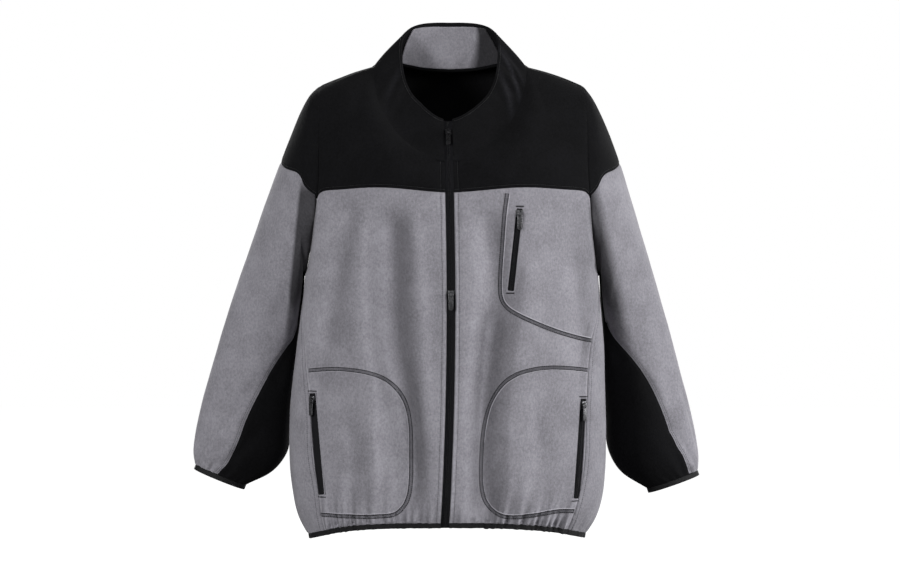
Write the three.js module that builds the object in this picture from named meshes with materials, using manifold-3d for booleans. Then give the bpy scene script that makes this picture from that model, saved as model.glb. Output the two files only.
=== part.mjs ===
// Zipped jacket in brushed velvet fleece, filled out as if worn: a hollow shell of sewn
// cloth pieces, open at neck, hem and cuffs. Millimetres, +Z up, front towards -Y and the
// wearer's left towards +X. The origin lies between the shoulders at the base of the neck.
import * as THREE from 'three';
import { mergeVertices } from 'three/addons/utils/BufferGeometryUtils.js';
import Module from 'manifold-3d';

const solids = await Module();
solids.setup();

// ---------------------------------------------------------------- driving dimensions
const NECK_HEIGHT = 700;      // origin above the lowest line of the hem
const SEAM = 0.3;             // gap between neighbouring pieces
const CLOTH = 2.0;            // body and sleeve cloth
const COLLAR_CLOTH = 3.0;     // collar, two layers
const BINDING = 2.6;          // folded elastic at hem and cuffs
const BINDING_WIDTH = 8;
const HEM_LEAN = 1.2;         // how far the hem's binding leans in from top to bottom
const TAPE = 0.9;             // woven zip tape
const BAG = 1.2;              // pocket bags inside the fronts
const ZIP_CHANNEL = 12.8;     // between the two front edges
const TAPE_REACH = 13;        // tape from the zip's middle to its hidden edge
const ROUNDNESS = 0.833;      // power of the section curves: 1 is an ellipse, less is squarer
const YOKE_CORNER = 7;        // armhole stations: 0 at the shoulder, 24 all round, front first
const UNDERARM = 12;
const BACK_CORNER = 17;
const SHOULDER_END = 1;
const STATIONS = 24;
const FRONT_COLUMNS = 12;     // zip to side seam, of which the first run on along the neck
const NECK_COLUMNS = 8;
const SHOULDER_COLUMNS = 4;
const BACK_COLUMNS = 18;
const BACK_NECK_COLUMNS = 10;

// Torso sections from the hem seam to the underarm. z: height at the sides; right, left:
// half widths; front, back: depths at the middle; seam_right, seam_left: turn in degrees
// from centre front to the side seam; rise, rise_back: how much higher the middle lies.
const TORSO = [
  { z: 8,   right: 224, left: 213, front: 108, back: 107, seam_right: 56, seam_left: 54, rise: 19, rise_back: 5 },
  { z: 30,  right: 233, left: 225, front: 113, back: 113, seam_right: 54, seam_left: 53, rise: 15, rise_back: 4 },
  { z: 66,  right: 239, left: 233, front: 116, back: 117, seam_right: 53, seam_left: 54, rise: 10, rise_back: 3 },
  { z: 120, right: 244, left: 237, front: 118, back: 117, seam_right: 55, seam_left: 56, rise: 5,  rise_back: 1 },
  { z: 204, right: 242, left: 236, front: 120, back: 113, seam_right: 58, seam_left: 58, rise: 1,  rise_back: 0 },
  { z: 296, right: 231, left: 233, front: 122, back: 115, seam_right: 71, seam_left: 64, rise: 0,  rise_back: 0 },
  { z: 350, right: 225, left: 229, front: 124, back: 119, seam_right: 82, seam_left: 78, rise: 0,  rise_back: 0 },
  { z: 395, right: 220, left: 225, front: 124, back: 122, seam_right: 90, seam_left: 90, rise: 0,  rise_back: 0 },
];
const TORSO_ROWS = [8, 30, 66, 105, 144, 183, 221, 262, 304, 350, 395];

// Armhole, from the shoulder over the front, the underarm and the back.
const ARMHOLE = [
  { at: 0,  right: 198, left: 203, y: 8,   z: 683 },
  { at: 2,  right: 199, left: 205, y: -28, z: 663 },
  { at: 4,  right: 198, left: 206, y: -54, z: 611 },
  { at: 6,  right: 197, left: 207, y: -66, z: 546 },
  { at: 7,  right: 199, left: 210, y: -67, z: 513 },
  { at: 8,  right: 204, left: 213, y: -63, z: 479 },
  { at: 9,  right: 209, left: 217, y: -54, z: 446 },
  { at: 10, right: 214, left: 221, y: -39, z: 420 },
  { at: 11, right: 218, left: 224, y: -20, z: 402 },
  { at: 12, right: 220, left: 225, y: 0,   z: 395 },
  { at: 13, right: 219, left: 224, y: 22,  z: 401 },
  { at: 14, right: 216, left: 220, y: 45,  z: 420 },
  { at: 15, right: 211, left: 215, y: 63,  z: 448 },
  { at: 16, right: 207, left: 211, y: 75,  z: 481 },
  { at: 17, right: 204, left: 208, y: 82,  z: 516 },
  { at: 19, right: 198, left: 203, y: 82,  z: 583 },
  { at: 21, right: 196, left: 201, y: 63,  z: 641 },
  { at: 23, right: 197, left: 202, y: 28,  z: 677 },
  { at: 24, right: 198, left: 203, y: 8,   z: 683 },
];

// Neck seam and collar edge, from the centre front (0) round to the centre back (13);
// station 8 is where the shoulder seam meets them.
const NECK = [
  { at: 0,  x: 0,   y: -96, z: 565, edge_x: 0,  edge_y: -62, edge_z: 629 },
  { at: 1,  x: 22,  y: -94, z: 568, edge_x: 14, edge_y: -60, edge_z: 634 },
  { at: 2,  x: 45,  y: -88, z: 577, edge_x: 29, edge_y: -54, edge_z: 643 },
  { at: 3,  x: 67,  y: -79, z: 592, edge_x: 43, edge_y: -45, edge_z: 654 },
  { at: 4,  x: 85,  y: -67, z: 611, edge_x: 56, edge_y: -33, edge_z: 668 },
  { at: 5,  x: 99,  y: -52, z: 634, edge_x: 66, edge_y: -19, edge_z: 688 },
  { at: 6,  x: 109, y: -35, z: 660, edge_x: 71, edge_y: -4,  edge_z: 711 },
  { at: 7,  x: 115, y: -14, z: 688, edge_x: 73, edge_y: 13,  edge_z: 735 },
  { at: 8,  x: 116, y: 10,  z: 711, edge_x: 73, edge_y: 28,  edge_z: 754 },
  { at: 9,  x: 108, y: 32,  z: 722, edge_x: 68, edge_y: 41,  edge_z: 769 },
  { at: 10, x: 92,  y: 50,  z: 723, edge_x: 58, edge_y: 51,  edge_z: 778 },
  { at: 11, x: 68,  y: 63,  z: 719, edge_x: 42, edge_y: 57,  edge_z: 783 },
  { at: 12, x: 38,  y: 71,  z: 714, edge_x: 22, edge_y: 60,  edge_z: 785 },
  { at: 13, x: 0,   y: 73,  z: 712, edge_x: 0,  edge_y: 61,  edge_z: 785 },
];
const COLLAR_BULGE = 3;
const COLLAR_ROWS = 3;
const FACING = 1.5;           // grey facing inside the back of the collar
const FACING_SPAN = { right: 10.7, left: 15.1, top: 2.75, rows: 4, columns: 8 };
const SHOULDER_ARCH = 3;      // shoulder seam above the straight line from neck to armhole
const SOFTENINGS = 8;         // rounds of smoothing for the cloth just below the neck

// Front yoke seam: how far it arches above the straight line from the zip (0) to the
// armhole (1). Then how far the zip strays sideways on its way up.
const YOKE_SEAM = [
  { at: 0,    arch: 0 },
  { at: 0.35, arch: 8 },
  { at: 0.7,  arch: 7 },
  { at: 0.92, arch: 6 },
  { at: 1,    arch: 0 },
];
const YOKE_HEIGHT = 517;
const BACK_YOKE_HEIGHT = 520;
const ZIP_LINE = [
  { z: 0,   x: -9 },
  { z: 80,  x: -4.5 },
  { z: 212, x: 0 },
  { z: 370, x: 1.5 },
  { z: 520, x: -0.7 },
  { z: 640, x: -3.5 },
];
const FRONT_PROFILE = [
  { z: 395, y: 124 },
  { z: 460, y: 120 },
  { z: 517, y: 112 },
  { z: 565, y: 96 },
];
const BACK_PROFILE = [
  { z: 395, y: 122 },
  { z: 460, y: 126 },
  { z: 520, y: 124 },
  { z: 600, y: 110 },
  { z: 665, y: 90 },
  { z: 712, y: 73 },
];

// Sleeve sections after the armhole. out, in: the points farthest from and nearest to the
// body, x outwards and z up; y: middle; depth: half the front-to-back size; seam_front,
// seam_back: where the under sleeve begins and ends, in degrees from the outer line.
const SLEEVE_RIGHT = [
  { out_x: 214, out_z: 667, in_x: 223, in_z: 392, y: 12, depth: 74, seam_front: 165, seam_back: 225 },
  { out_x: 233, out_z: 632, in_x: 223, in_z: 379, y: 17, depth: 72, seam_front: 165, seam_back: 225 },
  { out_x: 257, out_z: 574, in_x: 225, in_z: 356, y: 26, depth: 68, seam_front: 165, seam_back: 225 },
  { out_x: 280, out_z: 513, in_x: 229, in_z: 326, y: 37, depth: 65, seam_front: 163, seam_back: 226 },
  { out_x: 303, out_z: 450, in_x: 231, in_z: 292, y: 48, depth: 62, seam_front: 152, seam_back: 227 },
  { out_x: 325, out_z: 388, in_x: 234, in_z: 256, y: 57, depth: 59, seam_front: 130, seam_back: 228 },
  { out_x: 346, out_z: 326, in_x: 238, in_z: 220, y: 63, depth: 56, seam_front: 114, seam_back: 227 },
  { out_x: 364, out_z: 266, in_x: 242, in_z: 184, y: 66, depth: 53, seam_front: 102, seam_back: 224 },
  { out_x: 381, out_z: 206, in_x: 246, in_z: 150, y: 66, depth: 50, seam_front: 93,  seam_back: 220 },
  { out_x: 393, out_z: 152, in_x: 252, in_z: 121, y: 64, depth: 46, seam_front: 88,  seam_back: 216 },
  { out_x: 396, out_z: 124, in_x: 274, in_z: 93,  y: 62, depth: 40, seam_front: 86,  seam_back: 213 },
  { out_x: 392, out_z: 104, in_x: 314, in_z: 72,  y: 60, depth: 26, seam_front: 85,  seam_back: 210 },
];
const SLEEVE_LEFT = [
  { out_x: 217, out_z: 664, in_x: 228, in_z: 392, y: 12, depth: 74, seam_front: 165, seam_back: 225 },
  { out_x: 235, out_z: 628, in_x: 229, in_z: 379, y: 17, depth: 72, seam_front: 165, seam_back: 225 },
  { out_x: 258, out_z: 572, in_x: 230, in_z: 356, y: 26, depth: 68, seam_front: 163, seam_back: 225 },
  { out_x: 277, out_z: 513, in_x: 232, in_z: 326, y: 37, depth: 65, seam_front: 158, seam_back: 224 },
  { out_x: 297, out_z: 450, in_x: 233, in_z: 292, y: 48, depth: 62, seam_front: 140, seam_back: 221 },
  { out_x: 316, out_z: 388, in_x: 233, in_z: 256, y: 57, depth: 59, seam_front: 118, seam_back: 216 },
  { out_x: 334, out_z: 326, in_x: 235, in_z: 220, y: 63, depth: 56, seam_front: 97,  seam_back: 208 },
  { out_x: 350, out_z: 266, in_x: 238, in_z: 184, y: 66, depth: 53, seam_front: 80,  seam_back: 200 },
  { out_x: 366, out_z: 206, in_x: 240, in_z: 150, y: 66, depth: 50, seam_front: 68,  seam_back: 192 },
  { out_x: 379, out_z: 148, in_x: 247, in_z: 118, y: 64, depth: 46, seam_front: 59,  seam_back: 186 },
  { out_x: 384, out_z: 116, in_x: 266, in_z: 90,  y: 62, depth: 40, seam_front: 53,  seam_back: 182 },
  { out_x: 382, out_z: 95,  in_x: 303, in_z: 67,  y: 60, depth: 26, seam_front: 50,  seam_back: 180 },
];
const FIRST_COLUMN = -9;      // armhole station of the top sleeve's first column
const TOP_COLUMNS = 20;
const UNDER_COLUMNS = 8;
const SLEEVE_ROWS = 14;
const CAP_ROWS = 4;
const CAP_DEPTH = 3.1;        // shoulder cap's reach down the outer line, in sleeve sections
const CAP_END = 0.12;         // and at its two ends
const CAP_FALL = 2.6;         // how late the cap narrows towards the yoke corners

// The largest folds, all soft troughs. On the fronts each runs between two places given by
// the distance from the middle (x) and the height (z); on the sleeves between two places
// along the sleeve, in sections, and round it, in degrees. reach: half width; depth: how
// far the cloth sinks.
const FRONT_FOLDS = [
  { side: -1, x1: 84,  z1: 460, x2: 89,  z2: 300, reach: 27, depth: 9 },
  { side: -1, x1: 84,  z1: 270, x2: 60,  z2: 110, reach: 23, depth: 6 },
  { side: -1, x1: 158, z1: 480, x2: 180, z2: 300, reach: 24, depth: 4 },
  { side: 1,  x1: 58,  z1: 318, x2: 46,  z2: 180, reach: 20, depth: 8 },
  { side: 1,  x1: 45,  z1: 140, x2: 54,  z2: 50,  reach: 20, depth: 6 },
  { side: 1,  x1: 186, z1: 470, x2: 196, z2: 300, reach: 22, depth: 4 },
];
const SLEEVE_FOLDS = [
  { side: -1, along1: 7.4, turn1: 72,  along2: 10.6, turn2: 30,  reach: 15, depth: 4.5 },
  { side: -1, along1: 4.6, turn1: 118, along2: 6.8,  turn2: 84,  reach: 17, depth: 3.5 },
  { side: -1, along1: 6.0, turn1: 260, along2: 8.0,  turn2: 300, reach: 17, depth: 4 },
  { side: 1,  along1: 7.0, turn1: 40,  along2: 10.2, turn2: 62,  reach: 15, depth: 3.5 },
  { side: 1,  along1: 4.4, turn1: 104, along2: 6.6,  turn2: 78,  reach: 17, depth: 3 },
  { side: 1,  along1: 6.2, turn1: 262, along2: 8.4,  turn2: 296, reach: 17, depth: 4 },
];
const SECTION_STEP = 60;      // between sleeve sections
const DEGREE = 1.1;           // one degree round the sleeve

// Zipped pockets. The slot runs between two places on the front, given by their distance
// from the middle (x) and height (z); the two side pockets lie along the side seam. The bag
// behind it reaches from inner_x to outer_x and from bottom to top, with its two inner
// corners rounded and its bottom edge falling outwards.
const POCKETS = [
  { name: 'pocket_right', side: -1, width: 14.4, low_x: 192.7, low_z: 66, high_x: 206.5, high_z: 219,
    inner_x: 58, outer_x: 190, bottom: 37, top: 249, fall: 0,
    bottom_round: [30, 30], top_round: [46, 44] },
  { name: 'pocket_left', side: 1, width: 14.4, low_x: 189.4, low_z: 60, high_x: 200.2, high_z: 211,
    inner_x: 46, outer_x: 186, bottom: 38, top: 258, fall: 0,
    bottom_round: [30, 30], top_round: [76, 110] },
  { name: 'chest_pocket', side: 1, width: 11.6, low_x: 89.5, low_z: 370, high_x: 103.5, high_z: 494,
    inner_x: 74, outer_x: 200, bottom: 352, top: 508, fall: 40,
    bottom_round: [14, 14], top_round: [4, 4] },
];
const TAPE_ROWS = 8;
const BAG_ROWS = 10;
const BAG_COLUMNS = 8;
const BAG_SLACK = 2.5;         // pocket bag behind its tape
const TAPE_HIDDEN = 4.5;      // pocket tape behind the inner edge of the slot
const TAPE_MARGIN = 0.6;      // and short of its outer edge, which lies on the side seam
const TAPE_ENDS = 0.03;       // tape past each end of the slot, as a share of its length
const SLIDER_PLACE = 0.93;    // closed pocket's slider, from the slot's lower end
const SLOT_CUT = 24;          // depth of the cut through the front

// Sliders and their hanging pull tabs.
const SLIDER = { length: 11, width: 9, nose: 6.12, shoulder: 1.1, height: 3.6, bridge: 3, seat: 0.5 };
const BRIDGE = { foot: 4, window: 2.6, rise: 3.4, crown: 1, corner: 1.2, sunk: 0.5, hinge: 1.45 };
const PULL = { width: 7, length: 24, thickness: 1.4, bar: 1.4, window: 4, window_height: 4.2 };
const FRONT_SLIDERS = [
  { slider: 'front_slider', pull: 'front_pull', z: 606 },
  { slider: 'second_slider', pull: 'second_pull', z: 366 },
];

// Cloth colours.
const GREY = { color: 0x8b8992, roughness: 0.92, metalness: 0 };
const BLACK = { color: 0x17171a, roughness: 0.9, metalness: 0 };
const BINDING_FINISH = { color: 0x0f0f11, roughness: 0.75, metalness: 0 };
const TAPE_FINISH = { color: 0x202126, roughness: 0.8, metalness: 0 };
const METAL = { color: 0x2a2b2e, roughness: 0.35, metalness: 0.9 };

// ---------------------------------------------------------------- curves and tables
const radians = (degrees) => degrees * Math.PI / 180;
const mix = (a, b, t) => a + (b - a) * t;
const point = (x, y, z) => new THREE.Vector3(x, y, z);

// A cosine or sine drawn out towards a square, keeping its sign.
const squared = (value) => Math.sign(value) * Math.abs(value) ** ROUNDNESS;

// Reads one row of a table at any place of its key, on a smooth curve through the rows.
function tableRow(table, key, place) {
  const last = table.length - 1;
  let low = 0;
  while (low < last - 1 && table[low + 1][key] <= place) low += 1;
  const before = table[Math.max(low - 1, 0)];
  const a = table[low];
  const b = table[low + 1];
  const after = table[Math.min(low + 2, last)];
  const span = b[key] - a[key];
  const t = THREE.MathUtils.clamp((place - a[key]) / span, 0, 1);
  const row = {};
  for (const column of Object.keys(a)) {
    const slopeA = (b[column] - before[column]) / (b[key] - before[key]) * span;
    const slopeB = (after[column] - a[column]) / (after[key] - a[key]) * span;
    row[column] = (2 * t ** 3 - 3 * t ** 2 + 1) * a[column] + (t ** 3 - 2 * t ** 2 + t) * slopeA
      + (3 * t ** 2 - 2 * t ** 3) * b[column] + (t ** 3 - t ** 2) * slopeB;
  }
  return row;
}

const zipX = (z) => tableRow(ZIP_LINE, 'z', z).x;

// How far a trough between two places of a plane sinks the cloth at a third place.
function troughAt(place, from, to, fold) {
  const run = to.clone().sub(from);
  const share = THREE.MathUtils.clamp(place.clone().sub(from).dot(run) / run.lengthSq(), 0, 1);
  const away = place.distanceTo(from.clone().addScaledVector(run, share));
  return fold.depth * Math.exp(-((away / fold.reach) ** 2));
}

// A grid of points: make(row, column) for every row and column, both from 0 to their count.
function grid(rows, columns, make) {
  return Array.from({ length: rows + 1 }, (_, row) =>
    Array.from({ length: columns + 1 }, (__, column) => make(row, column)));
}

// ---------------------------------------------------------------- walls of cloth
const OFF_HALF = 0.137;       // keeps rounding clear of values halfway between two steps
const LEAST_LEAN = 0.6;       // limits the stretch of a wall at a sharp turn

// A point's name: its place in thousandths of a millimetre.
const keyOf = (p) => [p.x, p.y, p.z].map((value) => Math.round(value * 1000 + OFF_HALF) + 0).join();

// The triangles of one grid, as triples of [row, column], seen from outside.
function gridTriangles(rows, flip) {
  const triangles = [];
  for (let r = 0; r + 1 < rows.length; r += 1) {
    for (let c = 0; c + 1 < rows[0].length; c += 1) {
      const corners = [[r, c], [r, c + 1], [r + 1, c + 1], [r + 1, c]];
      if (flip) corners.reverse();
      triangles.push([corners[0], corners[1], corners[2]], [corners[0], corners[2], corners[3]]);
    }
  }
  return triangles;
}

// Gives every point of every sheet a direction out of the cloth, shared along the seams,
// and a stretch that keeps the wall's thickness where the cloth turns sharply.
function shareDirections(sheets) {
  const shared = new Map();
  for (const sheet of sheets) {
    sheet.triangles = gridTriangles(sheet.points, sheet.flip);
    const own = new Map();
    for (const triangle of sheet.triangles) {
      const [a, b, c] = triangle.map(([r, k]) => sheet.points[r][k]);
      const face = b.clone().sub(a).cross(c.clone().sub(a));
      for (const p of [a, b, c]) own.set(keyOf(p), (own.get(keyOf(p)) ?? point(0, 0, 0)).add(face));
    }
    for (const [key, total] of own) {
      const directions = shared.get(key) ?? [];
      directions.push(total.normalize());
      shared.set(key, directions);
    }
  }
  const outs = new Map();
  for (const [key, directions] of shared) {
    const out = directions.reduce((sum, direction) => sum.add(direction), point(0, 0, 0)).normalize();
    const lean = Math.min(...directions.map((direction) => direction.dot(out)));
    outs.set(key, out.multiplyScalar(1 / Math.max(lean, LEAST_LEAN)));
  }
  for (const sheet of sheets) {
    sheet.out = sheet.points.map((row) => row.map((p) => outs.get(keyOf(p)).clone()));
    if (sheet.halves) {
      const first = sheet.out[0];
      for (let c = 1; c + 1 < first.length; c += 2) first[c].addVectors(first[c - 1], first[c + 1]).multiplyScalar(0.5);
    }
    if (sheet.endAxis) {
      for (const out of sheet.out.at(-1)) out.projectOnPlane(sheet.endAxis).normalize();
    }
  }
}

// A place between the grid points of a sheet, with the direction out of the cloth there.
function placeOn(sheet, r, c) {
  const row = Math.min(Math.floor(r), sheet.points.length - 2);
  const column = Math.min(Math.floor(c), sheet.points[0].length - 2);
  const [p, out] = [sheet.points, sheet.out].map((table) => {
    const low = table[row][column].clone().lerp(table[row][column + 1], c - column);
    const high = table[row + 1][column].clone().lerp(table[row + 1][column + 1], c - column);
    return low.lerp(high, r - row);
  });
  return { p, out };
}

// Draws the four edges of an open sheet in by half the seam gap, square to each edge.
function drawIn(sheet) {
  const { points, out } = sheet;
  const turn = sheet.flip ? -1 : 1;
  const rows = points.length - 1;
  const columns = points[0].length - 1;
  const moved = points.map((row) => row.map((p) => p.clone()));
  const shift = (r, c, from, to, sign, gap = SEAM / 2) => {
    const tangent = points[to[0]][to[1]].clone().sub(points[from[0]][from[1]]);
    const inward = out[r][c].clone().cross(tangent).normalize();
    moved[r][c].addScaledVector(inward, sign * turn * gap);
  };
  for (let c = 0; c <= columns; c += 1) {
    const left = sheet.closed ? (c - 1 + columns) % columns : Math.max(c - 1, 0);
    const right = sheet.closed ? (c + 1) % columns : Math.min(c + 1, columns);
    const between = c > 0 && c < columns;
    shift(0, c, [0, left], [0, right], 1, between ? sheet.firstGap : undefined);
    shift(rows, c, [rows, left], [rows, right], -1);
  }
  if (!sheet.closed) {
    for (let r = 0; r <= rows; r += 1) {
      const low = Math.max(r - 1, 0);
      const high = Math.min(r + 1, rows);
      shift(r, 0, [low, 0], [high, 0], -1);
      shift(r, columns, [low, columns], [high, columns], 1);
    }
  }
  return moved;
}

// Turns a sheet into a closed wall: its outer points, the same points moved in by the
// thickness, and strips between them along the open edges. Each strip's quads are split
// the same way on both sides of a seam.
function wallGeometry(sheet, thickness) {
  const outer = drawIn(sheet);
  const rows = outer.length;
  const columns = outer[0].length;
  const positions = [];
  for (const depth of [0, thickness]) {
    for (let r = 0; r < rows; r += 1) {
      for (let c = 0; c < columns; c += 1) {
        const p = outer[r][c].clone().addScaledVector(sheet.out[r][c], -depth);
        positions.push(p.x, p.y, p.z);
      }
    }
  }
  const inside = rows * columns;
  const at = ([r, c]) => r * columns + c;
  const indices = [];
  for (const triangle of sheet.triangles) {
    const [a, b, c] = triangle.map(at);
    indices.push(a, b, c, inside + a, inside + c, inside + b);
  }
  const strip = (from, to) => {
    const [start, end] = sheet.flip ? [to, from] : [from, to];
    const [a, b] = [at(start), at(end)];
    const p = sheet.points[start[0]][start[1]];
    const q = sheet.points[end[0]][end[1]];
    if (p.z - q.z + (p.y - q.y) * 1e-3 + (p.x - q.x) * 1e-6 > 0) {
      indices.push(a, inside + a, b, b, inside + a, inside + b);
    } else {
      indices.push(a, inside + a, inside + b, a, inside + b, b);
    }
  };
  for (let c = 0; c + 1 < columns; c += 1) {
    strip([0, c], [0, c + 1]);
    strip([rows - 1, c + 1], [rows - 1, c]);
  }
  if (!sheet.closed) {
    for (let r = 0; r + 1 < rows; r += 1) {
      strip([r + 1, 0], [r, 0]);
      strip([r, columns - 1], [r + 1, columns - 1]);
    }
  }
  const geometry = new THREE.BufferGeometry();
  geometry.setAttribute('position', new THREE.Float32BufferAttribute(positions, 3));
  geometry.setIndex(indices);
  return mergeVertices(geometry, 1e-3);
}

// ---------------------------------------------------------------- joining and cutting
function toSolid(geometry) {
  const bare = geometry.clone();
  bare.deleteAttribute('normal');
  bare.deleteAttribute('uv');
  const merged = mergeVertices(bare, 1e-4);
  return new solids.Manifold(new solids.Mesh({
    numProp: 3,
    vertProperties: new Float32Array(merged.attributes.position.array),
    triVerts: new Uint32Array(merged.index.array),
  }));
}

function fromSolid(solid) {
  const mesh = solid.getMesh();
  const geometry = new THREE.BufferGeometry();
  geometry.setAttribute('position', new THREE.BufferAttribute(new Float32Array(mesh.vertProperties), 3));
  geometry.setIndex(new THREE.BufferAttribute(new Uint32Array(mesh.triVerts), 1));
  return geometry;
}

const join = (a, b) => fromSolid(toSolid(a).add(toSolid(b)));
const cut = (a, b) => fromSolid(toSolid(a).subtract(toSolid(b)));

function piece(name, geometry, finish) {
  const mesh = new THREE.Mesh(geometry, new THREE.MeshStandardMaterial(finish));
  mesh.name = name;
  return mesh;
}

// ---------------------------------------------------------------- seam lines
const sideName = (side) => (side < 0 ? 'right' : 'left');

// A station of the armhole seam.
function armhole(side, station) {
  const row = tableRow(ARMHOLE, 'at', (station + STATIONS) % STATIONS);
  return point(side * row[sideName(side)], row.y, row.z);
}

// A station of the neck seam (rise 0) or the collar's edge (rise 1). At the centre front it
// stops at the zip; between seam and edge the collar swells a little.
function collarPoint(side, station, rise) {
  const row = tableRow(NECK, 'at', station);
  const centre = zipX(mix(row.z, row.edge_z, rise));
  const fade = Math.max(0, 1 - station / 3);
  const x = mix(row.x, row.edge_x, rise) + ZIP_CHANNEL / 2 * fade;
  const swell = COLLAR_BULGE * 4 * rise * (1 - rise);
  const away = Math.hypot(row.x, row.y) || 1;
  return point(
    side * (x + swell * row.x / away) + centre * fade,
    mix(row.y, row.edge_y, rise) + swell * row.y / away,
    mix(row.z, row.edge_z, rise),
  );
}

// The torso's section at height z, at any turn from centre front (0) to centre back (180).
function torsoPoint(side, z, turn) {
  const row = tableRow(TORSO, 'z', z);
  const angle = radians(turn);
  const forward = Math.max(0, Math.cos(angle));
  const backward = Math.max(0, -Math.cos(angle));
  return point(
    side * row[sideName(side)] * squared(Math.sin(angle)),
    -row.front * squared(forward) + row.back * squared(backward),
    z + row.rise * forward ** 2 + row.rise_back * backward ** 2,
  );
}

const seamTurn = (side, z) => tableRow(TORSO, 'z', z)[`seam_${sideName(side)}`];

// An arc from the middle of the garment to a point on its side: it leaves the middle square
// to the centre line and has turned by the given angle at the far end.
function sideArc(middle, end, turn, share) {
  const angle = radians(turn);
  const across = squared(Math.sin(angle * share)) / squared(Math.sin(angle));
  const back = (1 - squared(Math.cos(angle * share))) / (1 - squared(Math.cos(angle)));
  return point(mix(middle.x, end.x, across), mix(middle.y, end.y, back), mix(middle.z, end.z, share ** 2));
}

// Turn of the chest and back sections between the underarm (0) and the yoke (1).
const chestTurn = (climb) => mix(90, 62, Math.sqrt(climb));

// ---------------------------------------------------------------- body pieces
// The depth of the front's folds at one of its points, fading out at the seams.
function frontFold(side, p, share) {
  const place = new THREE.Vector2(Math.abs(p.x), p.z);
  const fade = Math.min(1, 6 * share, 6 * (1 - share));
  return FRONT_FOLDS.filter((fold) => fold.side === side).reduce((sum, fold) => sum + fade
    * troughAt(place, new THREE.Vector2(fold.x1, fold.z1), new THREE.Vector2(fold.x2, fold.z2), fold), 0);
}

// Grey front below the yoke. Rows climb the side seam, then the armhole to the yoke corner.
function frontPoints(side) {
  const lower = TORSO_ROWS.length - 1;
  const upper = UNDERARM - YOKE_CORNER;
  const points = grid(lower + upper, FRONT_COLUMNS, (row, column) => {
    const share = column / FRONT_COLUMNS;
    if (row <= lower) {
      const z = TORSO_ROWS[row];
      const middle = torsoPoint(side, z, 0);
      middle.x = zipX(middle.z) + side * ZIP_CHANNEL / 2;
      const turn = seamTurn(side, z);
      return sideArc(middle, torsoPoint(side, z, turn), turn, share);
    }
    const climb = (row - lower) / upper;
    const end = armhole(side, UNDERARM - (row - lower));
    const z = mix(TORSO_ROWS[lower], YOKE_HEIGHT, climb);
    const middle = point(zipX(z) + side * ZIP_CHANNEL / 2, -tableRow(FRONT_PROFILE, 'z', z).y, z);
    const p = sideArc(middle, end, chestTurn(climb), share);
    p.z += tableRow(YOKE_SEAM, 'at', share).arch * climb ** 3;
    return p;
  });
  for (const row of points) row.forEach((p, column) => { p.y += frontFold(side, p, column / FRONT_COLUMNS); });
  return points;
}

// Grey back below the yoke, from the right side seam round to the left one.
function backPoints() {
  const lower = TORSO_ROWS.length - 1;
  const upper = BACK_CORNER - UNDERARM;
  return grid(lower + upper, BACK_COLUMNS, (row, column) => {
    const place = 2 * column / BACK_COLUMNS - 1;
    const side = place < 0 ? -1 : 1;
    const share = Math.abs(place);
    if (row <= lower) {
      const z = TORSO_ROWS[row];
      return torsoPoint(side, z, mix(180, seamTurn(side, z), share));
    }
    const climb = (row - lower) / upper;
    const end = armhole(side, UNDERARM + (row - lower));
    const z = mix(TORSO_ROWS[lower], BACK_YOKE_HEIGHT, climb);
    const middle = point(0, tableRow(BACK_PROFILE, 'z', z).y, z);
    return sideArc(middle, end, chestTurn(climb), share);
  });
}

// The same line with its corners rounded off and its two ends kept.
function softened(line) {
  let soft = line;
  for (let pass = 0; pass < SOFTENINGS; pass += 1) {
    soft = soft.map((p, i) => (i === 0 || i === soft.length - 1 ? p
      : soft[i - 1].clone().add(soft[i + 1]).addScaledVector(p, 2).multiplyScalar(0.25)));
  }
  return soft;
}

// A patch between four border lines, swelling outwards by the given height in its middle.
// A corner in its upper border fades out just below it.
function patch(low, high, first, last, swell) {
  const rows = first.length - 1;
  const columns = low.length - 1;
  const soft = softened(high);
  return grid(rows, columns, (row, column) => {
    const u = column / columns;
    const v = row / rows;
    const top = soft[column].clone().lerp(high[column], v ** 3);
    const p = low[column].clone().multiplyScalar(1 - v).addScaledVector(top, v)
      .addScaledVector(first[row], 1 - u).addScaledVector(last[row], u)
      .addScaledVector(low[0], -(1 - u) * (1 - v)).addScaledVector(low[columns], -u * (1 - v))
      .addScaledVector(high[0], -(1 - u) * v).addScaledVector(high[columns], -u * v);
    return p.addScaledVector(swell, 16 * u * (1 - u) * v * (1 - v));
  });
}

// Shoulder seam, from the neck to the armhole.
function shoulderSeam(side, share) {
  const neck = collarPoint(side, NECK_COLUMNS, 0);
  const end = armhole(side, SHOULDER_END);
  const lift = SHOULDER_ARCH * Math.sin(Math.PI * share);
  return point(mix(neck.x, end.x, share), mix(neck.y, end.y, share), mix(neck.z, end.z, share) + lift);
}

// Black front yoke, between the yoke seam, zip, neck, shoulder seam and armhole.
function yokePoints(side, front) {
  const low = front.at(-1);
  const rows = YOKE_CORNER - SHOULDER_END;
  const high = Array.from({ length: FRONT_COLUMNS + 1 }, (_, column) => (column <= NECK_COLUMNS
    ? collarPoint(side, column, 0)
    : shoulderSeam(side, (column - NECK_COLUMNS) / SHOULDER_COLUMNS)));
  const first = Array.from({ length: rows + 1 }, (_, row) => {
    const z = mix(low[0].z, high[0].z, row / rows);
    return point(mix(low[0].x, high[0].x, row / rows), -tableRow(FRONT_PROFILE, 'z', z).y, z);
  });
  first[0] = low[0];
  first[rows] = high[0];
  const last = Array.from({ length: rows + 1 }, (_, row) => armhole(side, YOKE_CORNER - row));
  last[0] = low[FRONT_COLUMNS];
  return patch(low, high, first, last, point(side * 4, -8, 0));
}

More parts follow.
